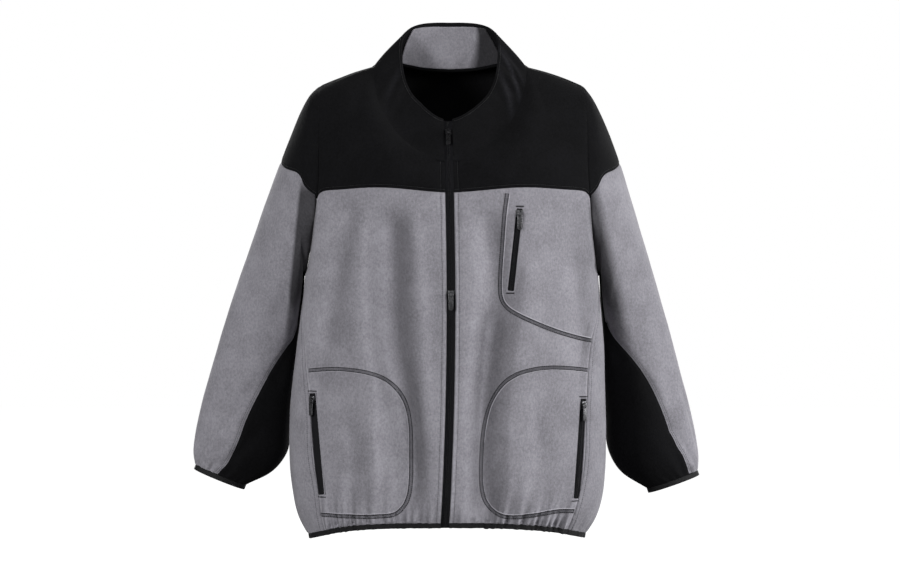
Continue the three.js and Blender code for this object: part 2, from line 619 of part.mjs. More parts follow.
// Black back yoke, in one piece from armhole to armhole.
function backYokePoints(back) {
  const low = back.at(-1);
  const rows = STATIONS + SHOULDER_END - BACK_CORNER;
  const half = BACK_COLUMNS / 2;
  const neckHalf = BACK_NECK_COLUMNS / 2;
  const high = low.map((_, column) => {
    const side = column < half ? -1 : 1;
    const away = Math.abs(column - half);
    if (away <= neckHalf) return collarPoint(side, NECK_COLUMNS + neckHalf - away, 0);
    return shoulderSeam(side, (away - neckHalf) / SHOULDER_COLUMNS);
  });
  const edge = (side) => Array.from({ length: rows + 1 }, (_, row) => armhole(side, BACK_CORNER + row));
  return patch(low, high, edge(-1), edge(1), point(0, 10, 0));
}

// Collar, from the zip round the back of the neck to the zip again.
function collarPoints(rows) {
  const half = NECK_COLUMNS + BACK_NECK_COLUMNS / 2;
  return grid(rows, 2 * half, (row, column) => {
    const side = column < half ? -1 : 1;
    return collarPoint(side, half - Math.abs(column - half), row / rows);
  });
}

// The facing: places on the collar's sheet between two columns, up to just below its edge.
function facingSheet(collar) {
  const { right, left, top, rows, columns } = FACING_SPAN;
  const places = grid(rows, columns, (row, column) =>
    placeOn(collar, mix(0, top, row / rows), mix(right, left, column / columns)));
  return sheetFrom(places, COLLAR_CLOTH + SEAM, collar.flip);
}

// ---------------------------------------------------------------- sleeves
const SLEEVES = { [-1]: SLEEVE_RIGHT, 1: SLEEVE_LEFT };
const LAST_RING = SLEEVE_RIGHT.length;

// A point of ring 0, the armhole, or of a later section of the sleeve, at an angle counted
// from the outer line over the front.
function ringPoint(side, ring, degrees) {
  const turn = (degrees + 360) % 360;
  if (ring <= 0) {
    const station = turn * STATIONS / 360;
    const low = Math.floor(station);
    return armhole(side, low).lerp(armhole(side, low + 1), station - low);
  }
  const row = SLEEVES[side][Math.min(ring, LAST_RING) - 1];
  const across = Math.cos(radians(turn));
  return point(
    side * mix(row.in_x, row.out_x, (1 + across) / 2),
    row.y - row.depth * Math.sin(radians(turn)),
    mix(row.in_z, row.out_z, (1 + across) / 2),
  );
}

// The depth of the sleeve's folds at a place.
function sleeveFold(side, along, degrees) {
  const place = new THREE.Vector2(SECTION_STEP * along, DEGREE * ((degrees + 360) % 360));
  return SLEEVE_FOLDS.filter((fold) => fold.side === side).reduce((sum, fold) => sum + troughAt(place,
    new THREE.Vector2(SECTION_STEP * fold.along1, DEGREE * fold.turn1),
    new THREE.Vector2(SECTION_STEP * fold.along2, DEGREE * fold.turn2), fold), 0);
}

// A point anywhere along the sleeve, on a smooth curve through the rings, with its folds
// sunk towards the sleeve's middle.
function sleevePoint(side, along, degrees) {
  const p = sleeveCurve(side, along, degrees);
  const middle = sleeveCurve(side, along, degrees + 180).add(p).multiplyScalar(0.5);
  return p.addScaledVector(middle.sub(p).normalize(), sleeveFold(side, along, degrees));
}

function sleeveCurve(side, along, degrees) {
  const ring = Math.min(Math.floor(along), LAST_RING - 1);
  const t = along - ring;
  const [a, b, c, d] = [-1, 0, 1, 2].map((step) => ringPoint(side, ring + step, degrees));
  if (ring === 0) a.copy(b).multiplyScalar(2).sub(c);
  if (ring + 2 > LAST_RING) d.copy(c).multiplyScalar(2).sub(b);
  return b.clone().multiplyScalar(1.5 * t ** 3 - 2.5 * t ** 2 + 1)
    .addScaledVector(a, -0.5 * t ** 3 + t ** 2 - 0.5 * t)
    .addScaledVector(c, -1.5 * t ** 3 + 2 * t ** 2 + 0.5 * t)
    .addScaledVector(d, 0.5 * t ** 3 - 0.5 * t ** 2);
}

// Where the under sleeve's front and back seams run, in degrees.
function seamAngles(side, along) {
  const table = SLEEVES[side].map((row, index) => ({ at: index + 1, front: row.seam_front, back: row.seam_back }));
  return tableRow(table, 'at', along);
}

// The shoulder cap's lower seam, in rings, at a column of the top sleeve.
function capReach(column) {
  const station = Math.abs(FIRST_COLUMN + column);
  const share = Math.min(station / YOKE_CORNER, 1);
  return station > YOKE_CORNER ? 0 : Math.max(CAP_DEPTH * (1 - share ** CAP_FALL), CAP_END);
}

// A point of the top sleeve's column, which twists along the sleeve with its seams.
function topSleevePoint(side, column, along) {
  const seams = seamAngles(side, along);
  return sleevePoint(side, along, mix(seams.back - 360, seams.front, column / TOP_COLUMNS) + 360);
}

// Black shoulder cap, between the armhole and its own curved seam.
function capPoints(side) {
  const first = -YOKE_CORNER - FIRST_COLUMN;
  return grid(CAP_ROWS, 2 * YOKE_CORNER, (row, column) => {
    const place = first + column;
    return topSleevePoint(side, place, capReach(place) * row / CAP_ROWS);
  });
}

// Grey top sleeve, from the armhole or the cap's seam to the cuff.
const topSleevePoints = (side) => grid(SLEEVE_ROWS, TOP_COLUMNS, (row, column) =>
  topSleevePoint(side, column, mix(capReach(column), LAST_RING, row / SLEEVE_ROWS)));

// Black under sleeve, from the armhole to the cuff.
const underSleevePoints = (side) => grid(SLEEVE_ROWS, UNDER_COLUMNS, (row, column) => {
  const along = LAST_RING * row / SLEEVE_ROWS;
  const seams = seamAngles(side, along);
  return sleevePoint(side, along, mix(seams.front, seams.back, column / UNDER_COLUMNS));
});

// The direction in which the sleeve leaves its cuff.
function cuffAxis(side) {
  const outer = ringPoint(side, LAST_RING, 0);
  const inner = ringPoint(side, LAST_RING, 180);
  return outer.sub(inner).cross(point(0, -side, 0)).normalize();
}

// Elastic binding round the cuff.
function cuffPoints(side) {
  const axis = cuffAxis(side);
  return grid(1, STATIONS, (row, column) =>
    ringPoint(side, LAST_RING, 360 * (column % STATIONS) / STATIONS).addScaledVector(axis, row * BINDING_WIDTH));
}

// ---------------------------------------------------------------- hem, zips and pockets
// Elastic binding along the hem, from the zip round the back to the zip again.
function hemPoints(frontRight, back, frontLeft) {
  const line = [...frontRight[0], ...back[0].slice(1), ...frontLeft[0].slice(0, -1).reverse()];
  return [line, line.map((p) => {
    const inward = point(-p.x, -p.y, 0).normalize();
    return p.clone().addScaledVector(inward, HEM_LEAN).add(point(0, 0, -BINDING_WIDTH));
  })];
}

// Finds the place of the front that lies at distance x from the middle and height z, with
// the direction out of the cloth there, by stepping towards it over the front's own cells.
function onFront(sheet, x, z) {
  const rows = sheet.points.length - 1;
  const columns = sheet.points[0].length - 1;
  let r = rows / 2;
  let c = columns / 2;
  for (let step = 0; step < 40; step += 1) {
    const here = placeOn(sheet, r, c).p;
    const perRow = Math.abs(placeOn(sheet, Math.min(r + 0.5, rows), c).p.z
      - placeOn(sheet, Math.max(r - 0.5, 0), c).p.z) || 1;
    const perColumn = Math.abs(placeOn(sheet, r, Math.min(c + 0.5, columns)).p.x
      - placeOn(sheet, r, Math.max(c - 0.5, 0)).p.x) || 1;
    r = THREE.MathUtils.clamp(r + 0.8 * (z - here.z) / perRow, 0, rows);
    c = THREE.MathUtils.clamp(c + 0.8 * (Math.abs(x) - Math.abs(here.x)) / perColumn, 0, columns);
  }
  return placeOn(sheet, r, c);
}

// A sheet made from places on another one, moved in by a depth.
function sheetFrom(places, depth, flip) {
  const points = places.map((row) => row.map(({ p, out }) => p.clone().addScaledVector(out, -depth)));
  return { points, out: places.map((row) => row.map(({ out }) => out)), flip, triangles: gridTriangles(points, flip) };
}

// Half of the front zip's tape: behind the front, yoke and collar edges, from hem to edge.
function frontTape(side, sheets) {
  const places = [];
  const depths = [];
  for (const { sheet, column, step, cloth } of sheets) {
    sheet.points.forEach((row, r) => {
      if (places.length && r === 0) places.pop();
      const edge = row[column];
      const next = row[column + step];
      const share = (TAPE_REACH - ZIP_CHANNEL / 2) / edge.distanceTo(next);
      const out = sheet.out[r][column].clone().setX(0).normalize();
      const middle = edge.clone().setX(edge.x - side * ZIP_CHANNEL / 2);
      places.push([middle, edge, edge.clone().lerp(next, share)].map((p) => ({ p, out })));
      depths[places.length - 1] = Math.max(cloth, r === 0 ? depths[places.length - 1] ?? 0 : 0) + SEAM;
    });
  }
  const sheet = sheetFrom(places, 0, side < 0);
  sheet.points.forEach((row, r) => row.forEach((p) => p.addScaledVector(places[r][0].out, -depths[r])));
  return sheet;
}

// The place on the front zip's tape at height z, and the direction of the zip there.
function onTape(tape, z) {
  const line = tape.points.map((row) => row[0]);
  const next = line.findIndex((p) => p.z > z);
  const [a, b] = [line[next - 1], line[next]];
  const share = (z - a.z) / (b.z - a.z);
  return {
    place: { p: a.clone().lerp(b, share), out: tape.out[next - 1][0].clone().lerp(tape.out[next][0], share).normalize() },
    up: b.clone().sub(a).normalize(),
  };
}

// The frame of a zip at a place of its cloth: x across, y out of the cloth, z up the zip.
function zipFrame(place, up) {
  const out = place.out.clone().projectOnPlane(up).normalize();
  return new THREE.Matrix4().makeBasis(out.clone().cross(up).normalize(), out, up).setPosition(place.p);
}

// The slot of a zipped pocket: its two ends on the front and the frame at its middle.
function slotOf(pocket, front) {
  const low = onFront(front, pocket.low_x, pocket.low_z);
  const high = onFront(front, pocket.high_x, pocket.high_z);
  const up = high.p.clone().sub(low.p).normalize();
  const middle = onFront(front, (pocket.low_x + pocket.high_x) / 2, (pocket.low_z + pocket.high_z) / 2);
  return { low, high, up, length: high.p.distanceTo(low.p), frame: zipFrame(middle, up) };
}

// Opens the slot in the front's wall.
function cutSlot(geometry, pocket, slot) {
  const box = new THREE.BoxGeometry(pocket.width, SLOT_CUT, slot.length);
  box.applyMatrix4(slot.frame);
  return cut(geometry, box);
}

// Woven tape with the closed zip, behind the slot.
function pocketTape(pocket, slot, front) {
  const across = point(0, 0, 0).setFromMatrixColumn(slot.frame, 0);
  const inwards = across.x * pocket.side > 0 ? -1 : 1;
  const sides = [-pocket.width / 2 + TAPE_MARGIN, 0, pocket.width / 2 + TAPE_HIDDEN];
  const places = Array.from({ length: TAPE_ROWS + 1 }, (_, row) => sides.map((away) => {
    const p = slot.low.p.clone().lerp(slot.high.p, mix(-TAPE_ENDS, 1 + TAPE_ENDS, row / TAPE_ROWS)).addScaledVector(across, inwards * away);
    return onFront(front, p.x, p.z);
  }));
  return sheetFrom(places, CLOTH + SEAM, pocket.side > 0);
}

// Pocket bag inside the front, behind the tape.
function bagSheet(pocket, front) {
  const [bottomAcross, bottomUp] = pocket.bottom_round;
  const [topAcross, topUp] = pocket.top_round;
  const corner = (away, size) => 1 - Math.sqrt(Math.max(0, 1 - THREE.MathUtils.clamp(1 - away / size, 0, 1) ** 2));
  const places = Array.from({ length: BAG_ROWS + 1 }, (_, row) => {
    const share = (1 - Math.cos(Math.PI * row / BAG_ROWS)) / 2;
    const height = (pocket.top - pocket.bottom) * share;
    const inner = pocket.inner_x + bottomAcross * corner(height, bottomUp)
      + topAcross * corner(pocket.top - pocket.bottom - height, topUp);
    return Array.from({ length: BAG_COLUMNS + 1 }, (__, column) => {
      const away = column / BAG_COLUMNS;
      const z = pocket.bottom + height - pocket.fall * away * (1 - share);
      return onFront(front, mix(inner, pocket.outer_x, away), z);
    });
  });
  return sheetFrom(places, CLOTH + TAPE + BAG_SLACK, pocket.side < 0);
}

// ---------------------------------------------------------------- sliders and pull tabs
// An outline in the x-z plane given a thickness in y, centred on y = 0.
function plate(shape, thickness) {
  const geometry = new THREE.ExtrudeGeometry(shape, { depth: thickness, bevelEnabled: false, curveSegments: 5 });
  return geometry.translate(0, 0, -thickness / 2).rotateX(Math.PI / 2);
}

// Zip slider: a tapered body with an arched bridge that holds the pull tab. Its underside
// is at y = 0 and its middle at the origin.
function sliderGeometry() {
  const { length, width, nose, shoulder, height, bridge } = SLIDER;
  const outline = new THREE.Shape();
  outline.moveTo(-width / 2, length / 2);
  outline.lineTo(-width / 2, shoulder);
  outline.lineTo(-nose / 2, -length / 2);
  outline.lineTo(nose / 2, -length / 2);
  outline.lineTo(width / 2, shoulder);
  outline.lineTo(width / 2, length / 2);
  outline.closePath();
  const body = plate(outline, height).translate(0, height / 2, 0);
  const arch = new THREE.Shape();
  arch.moveTo(-BRIDGE.foot, 0);
  arch.lineTo(-BRIDGE.foot, BRIDGE.rise);
  arch.lineTo(-BRIDGE.foot + BRIDGE.corner, BRIDGE.rise + BRIDGE.crown);
  arch.lineTo(BRIDGE.foot - BRIDGE.corner, BRIDGE.rise + BRIDGE.crown);
  arch.lineTo(BRIDGE.foot, BRIDGE.rise);
  arch.lineTo(BRIDGE.foot, 0);
  arch.closePath();
  const window = new THREE.Path();
  window.moveTo(-BRIDGE.window, BRIDGE.sunk);
  window.lineTo(BRIDGE.window, BRIDGE.sunk);
  window.lineTo(BRIDGE.window, BRIDGE.rise);
  window.lineTo(-BRIDGE.window, BRIDGE.rise);
  window.closePath();
  arch.holes.push(window);
  const strap = new THREE.ExtrudeGeometry(arch, { depth: bridge, bevelEnabled: false });
  strap.translate(0, 0, -bridge / 2).rotateY(Math.PI / 2);
  strap.translate(0, height - BRIDGE.sunk, 0);
  return join(body, strap);
}

// Pull tab: a plate with a window whose top bar passes under the bridge. The bar, which is
// the hinge, lies at the origin, and the tab hangs down from it.
function pullGeometry() {
  const { width, length, thickness, bar, window } = PULL;
  const outline = new THREE.Shape();
  outline.moveTo(-width / 2, bar / 2);
  outline.lineTo(-width / 2, -length + width / 2);
  outline.absarc(0, -length + width / 2, width / 2, Math.PI, 2 * Math.PI, false);
  outline.lineTo(width / 2, bar / 2);
  outline.closePath();
  const hole = new THREE.Path();
  hole.moveTo(-window / 2, -bar / 2);
  hole.lineTo(-window / 2, -bar / 2 - PULL.window_height);
  hole.lineTo(window / 2, -bar / 2 - PULL.window_height);
  hole.lineTo(window / 2, -bar / 2);
  hole.closePath();
  outline.holes.push(hole);
  return plate(outline, thickness);
}

// A slider on its zip and the tab that hangs from it, leaning on the cloth where it swells.
function sliderWithPull(names, place, up, depth) {
  const frame = zipFrame(place, up);
  const out = point(0, 0, 0).setFromMatrixColumn(frame, 1);
  const seat = place.p.clone().addScaledVector(out, SLIDER.seat - depth);
  const slider = sliderGeometry().applyMatrix4(frame.clone().setPosition(seat));
  const hinge = seat.clone().addScaledVector(out, SLIDER.height + BRIDGE.hinge);
  const down = up.clone().negate();
  const level = point(out.x, out.y, 0).normalize();
  const hang = down.dot(level) > 0 ? down : point(0, 0, -1);
  const across = level.clone().cross(point(0, 0, 1)).normalize();
  const tabUp = hang.clone().projectOnPlane(across).normalize().negate();
  const tabFrame = new THREE.Matrix4().makeBasis(across, tabUp.clone().cross(across), tabUp).setPosition(hinge);
  const pull = pullGeometry().applyMatrix4(tabFrame);
  return [piece(names.slider, slider, METAL), piece(names.pull, pull, METAL)];
}

// ---------------------------------------------------------------- the jacket
const fronts = { [-1]: frontPoints(-1), 1: frontPoints(1) };
const backGrid = backPoints();
const sheets = {
  front_right: { points: fronts[-1], flip: true, cloth: CLOTH, finish: GREY },
  front_left: { points: fronts[1], flip: false, cloth: CLOTH, finish: GREY },
  back: { points: backGrid, flip: true, cloth: CLOTH, finish: GREY },
  yoke_right: { points: yokePoints(-1, fronts[-1]), flip: true, cloth: CLOTH, finish: BLACK },
  yoke_left: { points: yokePoints(1, fronts[1]), flip: false, cloth: CLOTH, finish: BLACK },
  back_yoke: { points: backYokePoints(backGrid), flip: true, cloth: CLOTH, finish: BLACK },
  collar: { points: collarPoints(COLLAR_ROWS), flip: true, cloth: COLLAR_CLOTH, finish: BLACK },
  hem_binding: { points: hemPoints(fronts[-1], backGrid, fronts[1]), flip: false, cloth: BINDING, finish: BINDING_FINISH },
};
for (const side of [-1, 1]) {
  const flip = side < 0;
  const name = sideName(side);
  const endAxis = cuffAxis(side);
  sheets[`shoulder_cap_${name}`] = { points: capPoints(side), flip, cloth: CLOTH, finish: BLACK };
  sheets[`top_sleeve_${name}`] = { points: topSleevePoints(side), flip, cloth: CLOTH, finish: GREY, endAxis };
  sheets[`under_sleeve_${name}`] = {
    points: underSleevePoints(side), flip, cloth: CLOTH, finish: BLACK, endAxis, halves: true, firstGap: 2 * SEAM,
  };
}
shareDirections(Object.values(sheets));
for (const side of [-1, 1]) {
  const cuff = { points: cuffPoints(side), flip: side < 0, cloth: BINDING, finish: BINDING_FINISH, closed: true };
  shareDirections([cuff]);
  sheets[`cuff_${sideName(side)}`] = cuff;
}

const jacket = new THREE.Group();
jacket.name = 'velvet_fleece_jacket';
jacket.position.z = -NECK_HEIGHT;
const walls = Object.fromEntries(Object.entries(sheets).map(([name, sheet]) => [name, wallGeometry(sheet, sheet.cloth)]));

for (const pocket of POCKETS) {
  const name = `front_${sideName(pocket.side)}`;
  const front = sheets[name];
  const slot = slotOf(pocket, front);
  walls[name] = cutSlot(walls[name], pocket, slot);
  jacket.add(piece(`${pocket.name}_tape`, wallGeometry(pocketTape(pocket, slot, front), TAPE), TAPE_FINISH));
  jacket.add(piece(`${pocket.name}_bag`, wallGeometry(bagSheet(pocket, front), BAG), BLACK));
  const place = onFront(front, mix(pocket.low_x, pocket.high_x, SLIDER_PLACE), mix(pocket.low_z, pocket.high_z, SLIDER_PLACE));
  jacket.add(...sliderWithPull({ slider: `${pocket.name}_slider`, pull: `${pocket.name}_pull` }, place, slot.up,
    CLOTH + SEAM));
}
for (const [name, sheet] of Object.entries(sheets)) jacket.add(piece(name, walls[name], sheet.finish));
jacket.add(piece('collar_facing', wallGeometry(facingSheet(sheets.collar), FACING), GREY));

const tapes = {};
for (const side of [-1, 1]) {
  const last = sheets.collar.points[0].length - 1;
  tapes[side] = frontTape(side, [
    { sheet: sheets[`front_${sideName(side)}`], column: 0, step: 1, cloth: CLOTH },
    { sheet: sheets[`yoke_${sideName(side)}`], column: 0, step: 1, cloth: CLOTH },
    { sheet: sheets.collar, column: side < 0 ? 0 : last, step: side < 0 ? 1 : -1, cloth: COLLAR_CLOTH },
  ]);
  jacket.add(piece(`front_zip_tape_${sideName(side)}`, wallGeometry(tapes[side], TAPE), TAPE_FINISH));
}
for (const names of FRONT_SLIDERS) {
  const { place, up } = onTape(tapes[1], names.z);
  jacket.add(...sliderWithPull(names, place, up, 0));
}

export default jacket;
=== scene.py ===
# Zipped jacket in short brushed velvet fleece, grey below a black yoke, filled out as if
# worn. Lengths are in millimetres and heights count from the lowest line of the hem. Right
# and left are the wearer's, so right is towards -X. Meshes are placed in metres.
import bmesh
import bpy
import numpy as np
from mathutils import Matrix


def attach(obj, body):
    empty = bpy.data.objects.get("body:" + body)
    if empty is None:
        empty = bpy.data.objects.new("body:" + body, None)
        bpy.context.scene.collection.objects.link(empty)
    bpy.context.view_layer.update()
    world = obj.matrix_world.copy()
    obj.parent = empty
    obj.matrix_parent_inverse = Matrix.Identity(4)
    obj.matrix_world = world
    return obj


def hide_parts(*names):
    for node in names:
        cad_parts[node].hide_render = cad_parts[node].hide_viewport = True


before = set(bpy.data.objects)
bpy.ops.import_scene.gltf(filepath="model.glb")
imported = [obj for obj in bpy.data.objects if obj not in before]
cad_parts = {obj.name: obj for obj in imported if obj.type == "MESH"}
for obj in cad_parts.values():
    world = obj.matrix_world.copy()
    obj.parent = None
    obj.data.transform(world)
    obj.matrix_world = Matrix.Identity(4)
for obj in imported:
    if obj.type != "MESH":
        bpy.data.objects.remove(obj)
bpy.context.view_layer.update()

# ---------------------------------------------------------------- grey fronts
# Two front panels of 2 mm velvet fleece, cut from hem to yoke seam and from zip to side
# seam. They are shaped only by their seams, so each section is an arc that leaves the zip
# square to the middle and ends on the side seam or the armhole.
RIGHT, LEFT = -1, 1
NECK_HEIGHT = 700             # the frame's origin above the hem's lowest line
CLOTH = 2.0
SEAM_GAP = 0.04               # each panel stops this far from its seam line
ZIP_CHANNEL = 12.8            # between the edges of the two fronts
ROUNDNESS = 0.833
YOKE_HEIGHT = 517
TORSO = {                     # sections from the hem seam up to the underarm
    "z":           [8, 30, 66, 120, 204, 296, 350, 395],
    "half_right":  [224, 233, 239, 244, 242, 231, 225, 220],
    "half_left":   [213, 225, 233, 237, 236, 233, 229, 225],
    "front":       [108, 113, 116, 118, 120, 122, 124, 124],
    "back":        [107, 113, 117, 117, 113, 115, 119, 122],
    "seam_right":  [56, 54, 53, 55, 58, 71, 82, 90],
    "seam_left":   [54, 53, 54, 56, 58, 64, 78, 90],
    "rise":        [19, 15, 10, 5, 1, 0, 0, 0],
    "rise_back":   [5, 4, 3, 1, 0, 0, 0, 0],
}
TORSO_ROWS = np.array([8, 30, 66, 105, 144, 183, 221, 262, 304, 350, 395.0])
ARMHOLE = {                   # stations from the shoulder over front, underarm and back
    "at":          [0, 2, 4, 6, 7, 8, 9, 10, 11, 12, 13, 14, 15, 16, 17, 19, 21, 23, 24],
    "half_right":  [198, 199, 198, 197, 199, 204, 209, 214, 218, 220, 219, 216, 211, 207, 204, 198, 196,
                    197, 198],
    "half_left":   [203, 205, 206, 207, 210, 213, 217, 221, 224, 225, 224, 220, 215, 211, 208, 203, 201,
                    202, 203],
    "y":           [8, -28, -54, -66, -67, -63, -54, -39, -20, 0, 22, 45, 63, 75, 82, 82, 63, 28, 8],
    "z":           [683, 663, 611, 546, 513, 479, 446, 420, 402, 395, 401, 420, 448, 481, 516, 583, 641,
                    677, 683],
}
STATIONS = 24
YOKE_CORNER, UNDERARM, BACK_CORNER, SHOULDER_END = 7, 12, 17, 1
ZIP_LINE = {"z": [0, 80, 212, 370, 520, 640], "x": [-9, -4.5, 0, 1.5, -0.7, -3.5]}
FRONT_PROFILE = {"z": [395, 460, 517, 565], "y": [124, 120, 112, 96]}
YOKE_ARCH = {"at": [0, 0.35, 0.7, 0.92, 1], "arch": [0, 8, 7, 6, 0]}
FRONT_FOLDS = {               # soft troughs from (x1, z1) to (x2, z2), x away from the middle
    RIGHT: [(84, 460, 89, 300, 27, 9), (84, 270, 60, 110, 23, 6), (158, 480, 180, 300, 24, 4)],
    LEFT: [(58, 318, 46, 180, 20, 8), (45, 140, 54, 50, 20, 6), (186, 470, 196, 300, 22, 4)],
}


def through(at, keys, values):
    """Smooth curve through values at keys: cubic pieces whose slope at each key is that of
    the chord between the keys on its two sides."""
    keys = np.asarray(keys, float)
    values = np.asarray(values, float)
    slope = np.empty_like(values)
    slope[1:-1] = (values[2:] - values[:-2]) / (keys[2:] - keys[:-2])
    slope[0] = (values[1] - values[0]) / (keys[1] - keys[0])
    slope[-1] = (values[-1] - values[-2]) / (keys[-1] - keys[-2])
    low = np.clip(np.searchsorted(keys, at, "right") - 1, 0, len(keys) - 2)
    span = keys[low + 1] - keys[low]
    t = np.clip((at - keys[low]) / span, 0, 1)
    return ((2 * t**3 - 3 * t**2 + 1) * values[low] + (t**3 - 2 * t**2 + t) * span * slope[low]
            + (3 * t**2 - 2 * t**3) * values[low + 1] + (t**3 - t**2) * span * slope[low + 1])


def stack(x, y, z):
    """Points from their three coordinates, each spread to the same shape."""
    return np.stack(np.broadcast_arrays(x, y, z), axis=-1).astype(float)


def squared(value):
    """A sine or cosine drawn out towards a square, keeping its sign."""
    return np.sign(value) * np.abs(value) ** ROUNDNESS


def side_name(side):
    return "right" if side < 0 else "left"


def zip_x(z):
    return through(z, ZIP_LINE["z"], ZIP_LINE["x"])


def torso(side, z, turn):
    """Section at height z: half width times the squared sine of the turn from centre front,
    depth times its squared cosine, and a rise that fades with the cosine's square."""
    row = {name: through(z, TORSO["z"], TORSO[name]) for name in TORSO if name != "z"}
    angle = np.radians(turn)
    forward = np.maximum(np.cos(angle), 0)
    backward = np.maximum(-np.cos(angle), 0)
    return stack(side * row["half_" + side_name(side)] * squared(np.sin(angle)),
                 row["back"] * squared(backward) - row["front"] * squared(forward),
                 z + row["rise"] * forward**2 + row["rise_back"] * backward**2)


def seam_turn(side, z):
    return through(z, TORSO["z"], TORSO["seam_" + side_name(side)])


def armhole(side, station):
    """Point of the armhole seam at a station counted round from the shoulder."""
    at = np.mod(station, STATIONS)
    return stack(side * through(at, ARMHOLE["at"], ARMHOLE["half_" + side_name(side)]),
                 through(at, ARMHOLE["at"], ARMHOLE["y"]), through(at, ARMHOLE["at"], ARMHOLE["z"]))


def side_arc(middle, end, turn, share):
    """Arc from the middle of the jacket to a point on its side: it leaves square to the
    centre line and has turned by the given angle at the far end."""
    angle = np.radians(turn)
    across = squared(np.sin(angle * share)) / squared(np.sin(angle))
    back = (1 - squared(np.cos(angle * share))) / (1 - squared(np.cos(angle)))
    return stack(middle[..., 0] + (end[..., 0] - middle[..., 0]) * across,
                 middle[..., 1] + (end[..., 1] - middle[..., 1]) * back,
                 middle[..., 2] + (end[..., 2] - middle[..., 2]) * share**2)


def spline(places, values):
    """Natural cubic spline through values at 0, 1, 2 and so on, read at the given places."""
    count = len(values)
    flat = values.reshape(count, -1)
    system = np.eye(count)
    inner = np.arange(1, count - 1)
    system[inner, inner - 1] = system[inner, inner + 1] = 1
    system[inner, inner] = 4
    bend = np.zeros_like(flat)
    bend[1:-1] = 6 * (flat[2:] - 2 * flat[1:-1] + flat[:-2])
    curve = np.linalg.solve(system, bend)
    low = np.clip(np.floor(places).astype(int), 0, count - 2)
    t = (places - low)[:, None]
    read = (flat[low] * (1 - t) + flat[low + 1] * t
            + (((1 - t)**3 - (1 - t)) * curve[low] + (t**3 - t) * curve[low + 1]) / 6)
    return read.reshape((len(places),) + values.shape[1:])


def lines(length, count, step=3.2):
    """Places from 0 to count over a cloth of this length: seven close together at each end,
    where the seam dips, and the rest one step apart."""
    edge = np.array([0, 0.9, 1.9, 3.2, 4.8, 6.5, 8.5]) / length
    inner = np.linspace(11.5 / length, 1 - 11.5 / length, int(length / step))
    return np.concatenate([edge, inner, 1 - edge[::-1]]) * count


def trough(x, z, folds):
    """Depth of soft troughs: each sinks by its depth times a bell curve of the distance
    from its line, measured in half widths."""
    total = np.zeros(np.broadcast(x, z).shape)
    for x1, z1, x2, z2, reach, depth in folds:
        run = np.array([x2 - x1, z2 - z1], float)
        share = np.clip(((x - x1) * run[0] + (z - z1) * run[1]) / (run @ run), 0, 1)
        away = np.hypot(x - x1 - share * run[0], z - z1 - share * run[1])
        total += depth * np.exp(-(away / reach)**2)
    return total


def edge_blend(points, first=None, last=None):
    """Moves the first and last columns onto their exact seam lines, and the cloth beside
    them by a share that fades to nothing over a third of the width."""
    place = np.linspace(0, 1, points.shape[1])[None, :, None]
    if first is not None:
        points = points + (first - points[:, 0])[:, None] * np.clip(1 - 3 * place, 0, 1)**2
    if last is not None:
        points = points + (last - points[:, -1])[:, None] * np.clip(3 * place - 2, 0, 1)**2
    return points


def seam_line(side, rows, step):
    """The side seam up to the underarm, then the armhole, one station a row, onwards in the
    direction of step: -1 over the front and 1 over the back."""
    low = np.minimum(rows, UNDERARM - 2)
    z = through(low, np.arange(len(TORSO_ROWS)), TORSO_ROWS)
    below = torso(side, z, seam_turn(side, z))
    above = armhole(side, UNDERARM + step * np.maximum(rows - (UNDERARM - 2), 0))
    return np.where(rows[:, None] <= UNDERARM - 2, below, above)


def front_panel(side):
    """Rows climb the side seam and then the armhole; columns run from zip to side."""
    columns = lines(225, 1, 2.4)
    rows = lines(510, len(TORSO_ROWS) - 1 + UNDERARM - YOKE_CORNER, 4.5)
    climb = np.arange(1, UNDERARM - YOKE_CORNER + 1) / (UNDERARM - YOKE_CORNER)
    middle_z = TORSO_ROWS[-1] + (YOKE_HEIGHT - TORSO_ROWS[-1]) * climb
    middle = np.concatenate([torso(side, TORSO_ROWS, 0), stack(0, -through(
        middle_z, FRONT_PROFILE["z"], FRONT_PROFILE["y"]), middle_z)])
    middle[:, 0] = zip_x(middle[:, 2]) + side * ZIP_CHANNEL / 2
    turn = np.concatenate([seam_turn(side, TORSO_ROWS), 90 - 28 * np.sqrt(climb)])
    end = np.concatenate([torso(side, TORSO_ROWS, turn[:len(TORSO_ROWS)]),
                          armhole(side, UNDERARM - np.arange(1, len(climb) + 1))])
    points = side_arc(middle[:, None], end[:, None], turn[:, None], columns[None])
    arch = through(columns, YOKE_ARCH["at"], YOKE_ARCH["arch"])
    points[len(TORSO_ROWS):, :, 2] += arch * (climb**3)[:, None]
    points = edge_blend(spline(rows, points), last=seam_line(side, rows, -1))
    fade = np.minimum(1, 6 * np.minimum(columns, 1 - columns))
    points[..., 1] += fade * trough(np.abs(points[..., 0]), points[..., 2], FRONT_FOLDS[side])
    return points


fronts = {side: front_panel(side) for side in (RIGHT, LEFT)}

WAVES = [                     # length, across, deep, up, height, start
    (118, 0.80, 0.30, 0.55, 0.55, 0.4),
    (87, -0.35, 0.62, 0.72, 0.40, 2.1),
    (64, 0.86, -0.40, -0.20, 0.30, 4.0),
    (47, 0.25, 0.30, 0.94, 0.16, 1.2),
    (39, 0.93, 0.35, 0.12, 0.14, 5.3),
]
SEAM_DIP, SEAM_REACH = 1.2, 2.4
STITCH_DIP, STITCH_REACH = 0.75, 1.5
GREY, BLACK = (0.293, 0.285, 0.317), (0.0046, 0.0046, 0.0055)
THREAD = {"radius": 0.3, "pitch": 3.0, "length": 2.4}
ZIP_ROW = 6.5                 # stitches beside the zip hold the turned edge down
